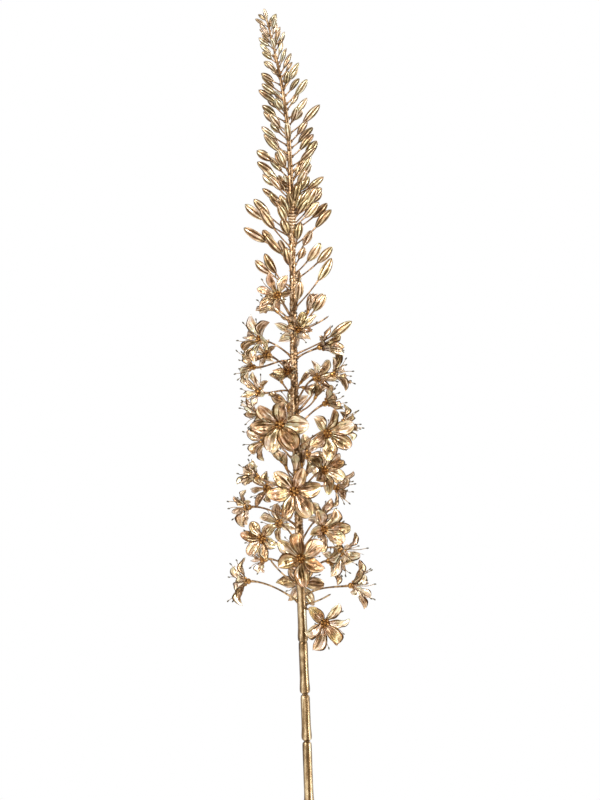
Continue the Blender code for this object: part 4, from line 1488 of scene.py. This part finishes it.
def flower_stalk(bloom, radius, end, draw):
    """The stalk of a flower, whose end is inside the cup."""
    a, b, c, d = stalk_pulls(bloom)
    return stalk_row((a, b, c, d + flower_axes(bloom)[2] * STALK_REACH), radius, end, draw)


def bare_stalk(stub, draw):
    """A stalk that has lost its bud."""
    root, end = stem_at(stub.root), Vector((stub.x, stub.depth, stub.z))
    sag, first, last = STUB_CURVE
    rise = Vector((0, 0, (end.z - root.z) * sag))
    points = (root, root.lerp(end, first) - rise, root.lerp(end, last) - rise, end)
    return stalk_row(points, stub.radius, BARE_END, draw)


def bud_stalk(bud, draw):
    """A bud's stalk, which is finer towards the spike's tip."""
    root, middle, neck, course = bud_course(bud)
    first, last, inside = BUD_STALK_CURVE
    pulls = (root.lerp(middle, first), neck - course * bud.stalk * last)
    points = (root, *pulls, neck + course * bud.length * inside)
    return stalk_row(points, BUD_STALK_RADIUS * at_share(STALK_FINER, bud.root), SMALL_END, draw)


def all_stalks():
    draw = random.Random(STALK_SEED)
    return [
        *(flower_stalk(bloom, CLOSED_STALK_RADIUS, SMALL_END, draw) for bloom in CLOSED),
        *(flower_stalk(bloom, STALK_RADIUS, OPEN_END, draw) for bloom in BLOOMS),
        *(bare_stalk(stub, draw) for stub in STUBS),
        *(bud_stalk(bud, draw) for bud in SHOWN_BUDS),
    ]


stalk_rows = all_stalks()
stalk_points = bare_points("stalk points", stalk_rows)
stalks = grow("stalks", stalk_points, stalk_tree, {**STALK_SETTINGS, "Finish": gilt_stalk})
print(len(stalk_rows), "stalks have", triangles_of(stalks), "triangles")

# %% [markdown]
# ## Buds
# A closed bud is a spindle of three outer petals folded edge to edge, so it shows three seams, and a crease
# down the middle of each petal, with raised ribs between them. The formula swells a circle along the bud's
# axis, presses in these six grooves, twists them a little and bows the whole to one side. The finish reads
# how deep a point lies and paints shade into the grooves and highlights onto the ribs. One bud could be
# modelled and copied, but then all would be alike. The formula takes each bud's size, course and chance from
# its point.

# %% The buds' tree
BUD_SETTINGS = {
    "Rows around": 31, "Rows along": 15, "Groove depth": 0.22, "Rib height": 0.08, "Twist": 0.4,
    "Fullness": 0.58, "Lowest swelling": 1.05,
}
# Times the length and the radius of its solid, by the height of its root
BUD_LONGER = ((740, 1.1), (900, 1.2), (1000, 1.3), (1040, 1.4), (1081, 1.25))
BUD_PLUMPER = ((740, 1.28), (900, 1.38), (960, 1.42), (1000, 1.42), (1040, 1.34), (1081, 1.36))
BUD_SEED = 5
BUD_PETALS = 3.0
BUD_BOW = 0.5  # times its radius


def build_bud_tree():
    tree, given = new_tree("folded buds", BUD_SETTINGS, ("Finish",))
    around, share = sheet_fields(tree)
    neck, course, side = vectors(tree, "neck", "course", "side")
    length, radius, chance = numbers(tree, "length", "radius", "chance")
    turn = around * FULL_TURN
    folded = size_of(sine((turn + chance * ANY_TURN + share * Field(given["Twist"])) * BUD_PETALS))
    groove = (1.0 - folded) ** 2
    rib = folded**8
    swelling = sine(share ** Field(given["Lowest swelling"]) * math.pi) ** Field(given["Fullness"])
    section = 1.0 - groove * Field(given["Groove depth"]) + rib * Field(given["Rib height"])
    bow = side * (sine(share * math.pi) * (chance - 0.5) * radius * BUD_BOW)
    outer = around_axis(side, crossed(course, side), turn) * (radius * swelling * section)
    place = neck + course * (length * share) + outer + bow
    faces = sheet_faces(tree, given["Rows around"], given["Rows along"])
    sheet = on_points(tree, given["Geometry"], "all", faces)
    # The crest mark carries the painted highlights of the ribs and the painted shade of the grooves.
    marks = {"share": share, "crest": rib - groove * 1.5}
    close_tree(tree, [shaped(tree, sheet, place, marks)], [(None, given["Finish"])])
    return tree


def bud_rows():
    draw = random.Random(BUD_SEED)
    rows = []
    for bud in SHOWN_BUDS:
        _, _, neck, course = bud_course(bud)
        rows.append({
            "neck": neck,
            "course": course,
            "side": course.orthogonal().normalized(),
            "length": bud.length * at_share(BUD_LONGER, bud.root),
            "radius": bud.radius * at_share(BUD_PLUMPER, bud.root),
            "chance": draw.random(),
            "all": 1.0,
        })
    return rows


bud_tree = build_bud_tree()
buds = grow("buds", bare_points("bud points", bud_rows()), bud_tree, {**BUD_SETTINGS, "Finish": gilt_bud})
print(len(SHOWN_BUDS), "buds have", triangles_of(buds), "triangles")

# %% [markdown]
# ## Flowers
# A petal of the real flower is a boat: its middle sinks, its rims rise and curl, fine pleats run along it
# and its tip turns up. The formula starts from the arc of the solid's petal and adds those. The sheet of
# faces runs over the top and back along the underside, so the petal is a closed blade that thins to its
# rim. Each petal also draws its own breadth, fold, sidewards bend, twist, hook and curl, and a few flowers
# have sizes and draws of their own. One sculpted petal could be copied instead, but on a spike that is seen
# from near the copies would show.

# %% What each petal has of its own
FLOWER_SETTINGS = {
    "Rows around a petal": 41, "Rows along a petal": 24, "Thickness": 0.55, "Fullness": 0.50, "Cup": 0.55,
    "Keel": 0.8, "Pleats": 4.4, "Pleat height": 0.27, "Rim curl": 0.30, "Rim wave": 1.6, "Crumple": 6.0,
    "Thread radius": 0.40, "Thread wave": 1.3, "Anther radius": 0.78, "Bead radius": 1.45,
    "Heart radius": 3.1, "Bowl radius": 5.2,
}
# By the petals' length: their breadth against the solids', and how pointed they are
PETAL_BREADTH = ((12, 0.62), (19, 0.75), (22, 0.84), (24, 0.95), (27, 1.02), (28, 1.26), (31, 1.4))
PETAL_POINTED = ((19, 0.9), (22, 0.75), (24, 0.6), (28, 0.4), (31, 0.3))
POINTED_UP = ((620, 0.35), (700, 1.0))  # how much of their point they show, by the flower's height
# From and to: times the breadth and the fold, millimetres, radians, millimetres and radians
PETAL_LIVENS = {
    "breadth": (0.78, 1.2), "fold": (0.3, 1.6), "sickle": (-4.0, 4.0), "twist": (-0.6, 0.6),
    "hook": (-3.5, 6.5), "uncurl": (-0.32, 0.24),
}
# A flower's number, and its petals' length and breadth against the other flowers'
OWN_SIZES = {
    1: (0.9, 0.9), 2: (0.97, 0.97), 6: (1.08, 0.94), 8: (1.0, 1.1), 9: (1.0, 1.2), 10: (0.95, 1.25),
    11: (1.14, 1.3), 12: (1.26, 1.26), 13: (1.24, 1.24), 14: (1.0, 1.1), 15: (0.9, 1.0), 16: (1.2, 1.25),
    20: (1.25, 1.25), 33: (0.75, 0.75), 35: (0.75, 0.8),
}
# A flower's number, and the seed of its draws
OWN_DRAWS = {1: 143, 10: 310, 11: 311, 12: 412, 13: 413, 14: 314, 16: 416}
THREAD_FOOT = (2.8, 1.6)  # how far out from the flower's middle, and in front of it
THREAD_BENDS = (-0.16, 0.16)  # shares of its length
PISTIL = 0.55  # times the petals' length
PISTIL_BENDS = (-0.1, 0.1)
NO_PETAL = dict.fromkeys(("rise", "curl", "length", "half_width", "bend", "pointed", *PETAL_LIVENS), 0.0)
NO_KIND = dict.fromkeys(("petal", "thread", "anther", "heart"), 0.0)


def liven(draw, low, high, share):
    """A value around the middle of a range, of which only a share is used."""
    middle = (low + high) / 2
    return middle + (draw.uniform(low, high) - middle) * share


def flower_rows(flower, draw, own_size=(1.0, 1.0), lively=1.0):
    """A bare point for each petal and thread of a flower, for its pistil and for its heart."""
    bloom, axes = flower.bloom, flower.axes
    right, up, face = axes
    longer, broader = own_size
    least, by_length = PETAL_WIDTH
    outwards, forwards = THREAD_FOOT
    middle = middle_of(bloom)
    axis = {"middle": middle, "out": right, "side": up, "face": face, "foot": middle, "aim": face}
    base = {**axis, **NO_PETAL, **NO_KIND}
    rows = []
    for petal in flower.petals:
        out, sideways = petal_directions(axes, petal)
        rise, curl = petal_arc(bloom, petal)
        half_width = (least + by_length * petal.length) / 2
        rows.append({
            **base, "petal": 1.0, "out": out, "side": sideways, "rise": rise, "curl": curl,
            "length": petal.length * longer,
            "half_width": half_width * at_share(PETAL_BREADTH, bloom.petal) * broader,
            "pointed": at_share(PETAL_POINTED, bloom.petal) * at_share(POINTED_UP, bloom.z),
            "chance": draw.random(),
            **{name: liven(draw, *most, lively) for name, most in PETAL_LIVENS.items()},
        })
    for stamen in flower.stamens:
        out, sideways = petal_directions(axes, stamen)
        foot, tip = stamen_line(bloom, axes, stamen)
        rows.append({
            **base, "thread": 1.0, "anther": 1.0, "out": out, "side": sideways,
            "foot": foot + out * outwards + face * forwards,
            "aim": (tip - foot).normalized(),
            "length": stamen.length * longer,
            "bend": draw.uniform(*THREAD_BENDS),
            "chance": draw.random(),
        })
    rows.append({
        **base, "thread": 1.0, "length": PISTIL * bloom.petal,
        "bend": draw.uniform(*PISTIL_BENDS),
        "chance": draw.random(),
    })
    rows.append({**base, "heart": 1.0, "chance": draw.random()})
    return rows


print(len(OWN_SIZES), "flowers have sizes of their own, and", len(OWN_DRAWS), "have draws of their own")

# %% [markdown]
# ## The formula of a petal
# It reads from top to bottom. First come a corner's place across and along the petal, its place on the arc
# and the petal's width there. Then each line lifts the surface off the arc by one thing: the fold, the
# curled rim, pleats, waves, the keel, the hook at the tip, dents, and last the petal's thickness. A blade
# bent by hand would give one good petal. Lines of arithmetic give them all, and each can be tried out on
# its own.

# %% Petals
# As shares along the petal
CLAW_WIDENS = (0.02, 0.6)
CLAW = (0.5, 1.0)  # how wide it starts, and ends, against the outline
POINTED_FROM = (0.5, 1.0)
TWISTED_FROM = (0.1, 1.0)
PLEATS_SHOW = (0.04, 0.2, 0.55, 0.95)
KEEL_STARTS = (0.1, 0.3)
KEEL_ENDS = (0.8, 1.0)
WAVES_FROM = (0.2, 0.6)
HOOKED_FROM = (0.55, 1.05)
# Across the petal
EVEN_ACROSS = 0.55  # how evenly its rows of corners lie; the rest crowd towards its rims
MORE_PLEATS = 1.2  # how far their number differs from petal to petal
PLEATS_DRIFT = (4.0, 25, 0.35)  # how they drift along a petal and from petal to petal, and how far
SOME_DEEPER = (2.6, 37, 0.4)  # how their height changes across a petal and from petal to petal, and by what
RIM_WAVES = (8.0, 1.6, 40)  # how they change along a petal, across it and from petal to petal
DENTS = (1.3, 3.4, 60)  # how they change across a petal, along it and from petal to petal
POINTED_MORE = 0.8  # added to the outline's power where a petal is pointed
SIDEWARDS_AT = 24.0  # the length of a petal that bends sidewards by the drawn amount


def petal_shape(tree, given):
    """The petals: the arc, its width, and all that lifts the surface off it."""
    around, share = sheet_fields(tree)
    middle, out, side, face = vectors(tree, "middle", "out", "side", "face")
    rise, curl, length, half, chance = numbers(tree, "rise", "curl", "length", "half_width", "chance")
    breadth, fold, sickle, twist, hook, uncurl = numbers(tree, *PETAL_LIVENS)
    curl = curl + uncurl
    turn = around * FULL_TURN
    across = (1.0 - size_of(around * 4.0 - 2.0)) * EVEN_ACROSS - cosine(turn) * (1 - EVEN_ACROSS)
    slope = rise + curl * share
    distance = PETAL_ROOT[0] + length * (sine(slope) - sine(rise)) / curl
    height = PETAL_ROOT[1] - length * (cosine(slope) - cosine(rise)) / curl
    claw = smooth_step(share, *CLAW_WIDENS, *CLAW)
    pointed = stored(tree, "pointed") * POINTED_MORE * smooth_step(share, *POINTED_FROM)
    fullness = Field(given["Fullness"]) + pointed
    outline = sine(share**PETAL_SKEW * math.pi) ** fullness * claw
    width = half * outline * breadth
    flat = face * cosine(slope) - out * sine(slope)
    turned = twist * smooth_step(share, *TWISTED_FROM)
    wide = side * cosine(turned) + flat * sine(turned)
    surface = flat * cosine(turned) - side * sine(turned)
    edge = size_of(across)
    drift = own_wave(share, chance, PLEATS_DRIFT)
    pleats = Field(given["Pleats"]) + swing(chance, MORE_PLEATS)
    pleat = cosine((across + drift * 0.12) * pleats * math.pi + drift)
    pleated = smooth_band(share, *PLEATS_SHOW) * (1.0 - edge**6)
    crest = pleat * pleated * (0.7 + own_wave(across, chance, SOME_DEEPER))
    by_share, by_across, by_chance = RIM_WAVES
    wave = sine(share * by_share + across * by_across + chance * by_chance) * edge**2
    wave = wave * smooth_step(share, *WAVES_FROM) * outline
    keel = fading(edge * -6.0) * smooth_step(share, *KEEL_STARTS) * smooth_step(share, *KEEL_ENDS, 1.0, 0.0)
    folded = Field(given["Cup"]) * fold * (0.75 + share * 0.6) * edge**1.5
    lift = width * (folded + Field(given["Rim curl"]) * edge**7)
    lift = lift + crest * Field(given["Pleat height"]) + wave * Field(given["Rim wave"])
    lift = lift - keel * Field(given["Keel"])
    lift = lift + smooth_step(share, *HOOKED_FROM) * hook
    dents = streaks_along(tree, across, share, chance, DENTS, 1.0)
    lift = lift + swing(dents, Field(given["Crumple"])) * outline
    lift = lift + sine(turn) * Field(given["Thickness"]) * 0.5 * (outline**0.5)
    place = middle + out * distance + face * height + wide * (width * across) + surface * lift
    place = place + side * (sickle * share**2 * length / SIDEWARDS_AT)
    faces = sheet_faces(tree, given["Rows around a petal"], given["Rows along a petal"])
    sheet = on_points(tree, given["Geometry"], "petal", faces)
    # The crest mark carries the painted highlights of the pleats and the painted shade between them and
    # along the keel.
    marks = {"share": share, "across": across, "crest": crest - keel * 0.8, "upper": sine(turn)}
    return shaped(tree, sheet, place, marks, inside_out=True)


print("A petal's formula is ready")

# %% [markdown]
# ## The flower's middle
# In the flower's middle a bowl holds a round seed case with a small bead at the foot of each thread; the
# bowl's dark brown is painted shade where the petals meet. Six wavy threads carry a dark anther each, and
# one more, the pistil, stands between them without an anther.
# These parts are only a few millimetres wide, so tubes and balls with few faces are enough for them. They
# are put together in the flower's own directions, which its points carry.

# %% Threads, hearts and the flowers' tree
FLOWER_FINISHES = ("Petal finish", "Heart finish", "Thread finish", "Anther finish", "Bowl finish")
THREAD_WAVES = 5.0  # radians along a thread
ANTHER_TALL = 2.0  # times its radius
# The cup behind the petals and the seed case before them: half their height, and their place along the axis
CUP_TALL = (3.0, -1.4)
CASE_TALL = (2.0, 2.0)
CASE_NARROW = 0.5  # times the cup's radius
BOWL_TALL = (3.0, 0.35, -0.3)  # how far its rim rises, half its thickness, and its place along the axis


def thread_shape(tree, given):
    """The threads as thin wavy tubes, with an anther and a bead for each but the pistil."""
    around, share = sheet_fields(tree)
    foot, aim, side = vectors(tree, "foot", "aim", "side")
    length, bend, chance = numbers(tree, "length", "bend", "chance")
    over = crossed(aim, side)
    waved = Field(given["Thread wave"])
    sway = side * (sine(share * THREAD_WAVES + chance * ANY_TURN) * share * waved)
    path = foot + aim * (length * share) + over * (length * bend * share**2) + sway
    thickness = Field(given["Thread radius"]) * (1.25 - share * 0.5) * ends_shut(share)
    place = path + around_axis(side, over, around * FULL_TURN) * thickness
    sheet = on_points(tree, given["Geometry"], "thread", sheet_faces(tree, 7, 15))
    tubes = shaped(tree, sheet, place, {})
    x, y, z = parts_of(tree, corner_place(tree))
    sway = side * (sine(chance * ANY_TURN + THREAD_WAVES) * waved)
    end = foot + aim * length + over * (length * bend) + sway
    radius = Field(given["Anther radius"])
    place = end + (side * x + over * y) * radius + aim * (z * radius * ANTHER_TALL)
    anther = on_points(tree, given["Geometry"], "anther", ball_faces(tree, 8, 6))
    anthers = shaped(tree, anther, place, {"is_anther": 1.0})
    place = foot + (aim * z + side * x + over * y) * Field(given["Bead radius"])
    bead = on_points(tree, given["Geometry"], "anther", ball_faces(tree, 10, 7))
    beads = shaped(tree, bead, place, {"is_heart": 1.0})
    return [tubes, anthers, beads]


def heart_shape(tree, given):
    """The cup behind the petals, the round seed case in front of them, and the bowl between them."""
    middle, out, side, face = vectors(tree, "middle", "out", "side", "face")
    x, y, z = parts_of(tree, corner_place(tree))
    radius = Field(given["Heart radius"])
    far = (x * x + y * y) ** 0.5
    (cup, cup_at), (case, case_at), (rim, thick, bowl_at) = CUP_TALL, CASE_TALL, BOWL_TALL
    bowl = far**2 * rim + z * thick + bowl_at
    parts = []
    for mark_name, faces, reach, forwards in (
        ("is_heart", ball_faces(tree, 20, 12), radius, z * cup + cup_at),
        ("is_heart", ball_faces(tree, 15, 10), radius * CASE_NARROW, z * case + case_at),
        ("is_bowl", ball_faces(tree, 24, 12), Field(given["Bowl radius"]), bowl),
    ):
        ball = on_points(tree, given["Geometry"], "heart", faces)
        place = middle + (out * x + side * y) * reach + face * forwards
        parts.append(shaped(tree, ball, place, {mark_name: 1.0}))
    return parts


def build_flower_tree():
    tree, given = new_tree("lily flower", FLOWER_SETTINGS, FLOWER_FINISHES)
    parts = [petal_shape(tree, given), *thread_shape(tree, given), *heart_shape(tree, given)]
    petal, heart, thread, anther, bowl = (given[name] for name in FLOWER_FINISHES)
    finishes = (
        (None, petal), ("thread", thread), ("is_anther", anther), ("is_heart", heart), ("is_bowl", bowl),
    )
    close_tree(tree, parts, finishes)
    return tree


flower_tree = build_flower_tree()
print("The flowers' tree has", len(flower_tree.nodes), "nodes")

# %% Grow the flowers
FLOWER_LOOKS = dict(zip(FLOWER_FINISHES, (gilt_petal, heart_bead, thread_gold, anther_grey, heart_painted_shade)))
FIRST_DRAW = 100  # a flower's seed is this and its number, if it has none of its own


def grow_flowers():
    """One piece for each flower."""
    pieces = []
    for number, flower in enumerate(flowers, 1):
        draw = random.Random(OWN_DRAWS.get(number, FIRST_DRAW + number))
        rows = flower_rows(flower, draw, OWN_SIZES.get(number, (1.0, 1.0)))
        seeds = bare_points(f"flower {number} points", rows)
        pieces.append(grow(f"flower_{number:02d}", seeds, flower_tree, {**FLOWER_SETTINGS, **FLOWER_LOOKS}))
    return pieces


flower_pieces = grow_flowers()
print(len(flower_pieces), "flowers have", sum(triangles_of(piece) for piece in flower_pieces), "triangles")

# %% [markdown]
# ## Half-shut flowers
# Close to the real stem, between the open flowers, some are still half shut. They could be a shape of their
# own, but the same tree grows them too: their petals stay close together because each flower's lift is
# large. They have no threads but the pistil, fewer rows of faces, a smaller heart and calmer rims, and they
# are one piece, as they lie deep in the spike.

# %% Grow the half-shut flowers
CLOSED_SEED = 77
CLOSED_SETTINGS = {
    **FLOWER_SETTINGS, **FLOWER_LOOKS, "Rows around a petal": 25, "Rows along a petal": 17,
    "Fullness": 0.85, "Cup": 0.8, "Rim wave": 0.4, "Crumple": 1.2,
    "Thread radius": 0.3, "Heart radius": 1.7, "Bowl radius": 2.2,
}
# How much the petals of one flower differ
CLOSED_ANGLES = 5
CLOSED_BENDS = 9
CLOSED_LENGTHS = (0.85, 1.1)
CLOSED_LIVELY = 0.3  # share of what the open flowers' petals differ


def closed_petals(bloom, draw):
    """The petals of a half-shut flower."""
    petals = []
    for k in range(PETALS):
        angle = bloom.spin + 360 * k / PETALS + varied(draw, CLOSED_ANGLES)
        bend = varied(draw, CLOSED_BENDS)
        petals.append(Petal(angle, bend, bloom.petal * draw.uniform(*CLOSED_LENGTHS)))
    return petals


def grow_closed():
    """The half-shut flowers, as one piece."""
    draw = random.Random(CLOSED_SEED)
    rows = []
    for bloom in CLOSED:
        flower = Flower(bloom, flower_axes(bloom), closed_petals(bloom, draw), [])
        rows += flower_rows(flower, draw, lively=CLOSED_LIVELY)
    return grow("closed_flowers", bare_points("closed flower points", rows), flower_tree, CLOSED_SETTINGS)


closed = grow_closed()
print(len(CLOSED), "half-shut flowers have", triangles_of(closed), "triangles")

# %% [markdown]
# ## Floor and light
# A white disc stands in for the studio's sweep. It fades out towards its rim so that no edge shows. Small
# lamps would leave hard bright spots on metal. Two large soft boxes to the sides of the camera make the
# long pale streaks down the stem and along the petals, and a weaker one behind the spike lights its far
# side.

# %% Floor
FLOOR_RADIUS = 1.9  # metres
FLOOR_CORNERS = 96
FLOOR_FADES = (0.35, 0.98)  # shares of its radius
FLOOR_GREY = paint(236, 236, 234)
FLOOR_WHITE = paint(242, 242, 240)


def add_floor(radius):
    material, tree, shader = new_finish("floor_white")
    place = object_place(tree)
    length = add_node(tree, "ShaderNodeVectorMath", {0: place}, operation="LENGTH")
    distance = Field(length.outputs["Value"])
    colour = mixed(tree, noise(tree, place, 3.0), FLOOR_GREY, FLOOR_WHITE)
    solid, gone = FLOOR_FADES
    alpha = smooth_step(distance, radius * solid, radius * gone, 1.0, 0.0)
    finish_surface(tree, shader, {"Base Color": colour, "Alpha": alpha}, Roughness=0.9)
    data = bpy.data.meshes.new("floor")
    turns = np.arange(0, FULL_TURN, FULL_TURN / FLOOR_CORNERS)
    corners = [(radius * math.cos(turn), radius * math.sin(turn), 0) for turn in turns]
    data.from_pydata(corners, [], [list(range(len(corners)))])
    data.materials.append(material)
    thing = bpy.data.objects.new("floor", data)
    bpy.context.scene.collection.objects.link(thing)
    return thing


floor = add_floor(FLOOR_RADIUS)
print("The floor is", 2 * FLOOR_RADIUS, "m across")

# %% World and lamps
GLOW = (1.08, 0.74, 0.46)  # what the metal mirrors from above, from the sides and from below
# Between which directions it changes: 0 is level, 1 straight up and -1 straight down
GLOW_RISES = (0.0, 0.8)
GLOW_FALLS = (-0.7, 0.0)
# Name, place, what it faces, width and height in metres, and watts
LAMPS = (
    ("key_box", (-1.3, -1.9, 1.9), (0, 0, 0.7), (1.0, 1.5), 78),
    ("fill_box", (1.6, -1.5, 0.9), (0, 0, 0.6), (0.4, 1.8), 42),
    ("back_box", (0.9, 1.6, 1.5), (0, 0, 0.7), (0.6, 1.4), 16),
)


def add_world(top, horizon, bottom):
    """White to the camera, and a soft gradient to everything that mirrors it."""
    world = bpy.data.worlds.new("studio")
    world.use_nodes = True
    tree = world.node_tree
    background = tree.nodes["Background"]
    direction = add_node(tree, "ShaderNodeTexCoord").outputs["Generated"]
    height = parts_of(tree, Field(direction))[2]
    above = smooth_step(height, *GLOW_RISES, horizon, top)
    glow = above - smooth_step(height, *GLOW_FALLS, horizon - bottom, 0.0)
    seen = Field(add_node(tree, "ShaderNodeLightPath").outputs["Is Camera Ray"])
    strength = glow * (1.0 - seen) + seen
    tree.links.new(strength.socket, background.inputs["Strength"])
    background.inputs["Color"].default_value = WHITE
    bpy.context.scene.world = world


def add_lamp(name, place, target, size, power):
    """A rectangular soft box that faces a point."""
    data = bpy.data.lights.new(name, "AREA")
    data.shape = "RECTANGLE"
    data.size, data.size_y = size
    data.energy = power
    lamp = bpy.data.objects.new(name, data)
    lamp.location = place
    lamp.rotation_euler = (Vector(target) - Vector(place)).to_track_quat("-Z", "Y").to_euler()
    bpy.context.scene.collection.objects.link(lamp)


add_world(*GLOW)
for lamp in LAMPS:
    add_lamp(*lamp)
print(len(LAMPS), "soft boxes light the spike")

# %% [markdown]
# ## The pieces and their solids
# Each piece rides the root body, and the solid that it stands for is hidden.

# %% Ride and replace
for piece, node, slot in (
    (vase, "vase", "vase_glaze"), (stem, "flower_stem", "gilt_stem"), (stalks, "flower_stem", "gilt_stem"),
    (buds, "flower_stem", "gilt_stem"), (closed, "flower_stem", "gilt_stem"),
    *((piece, f"bloom_{number:02d}", "gilt_petal") for number, piece in enumerate(flower_pieces, 1)),
):
    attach(piece, "root")
    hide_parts(node)
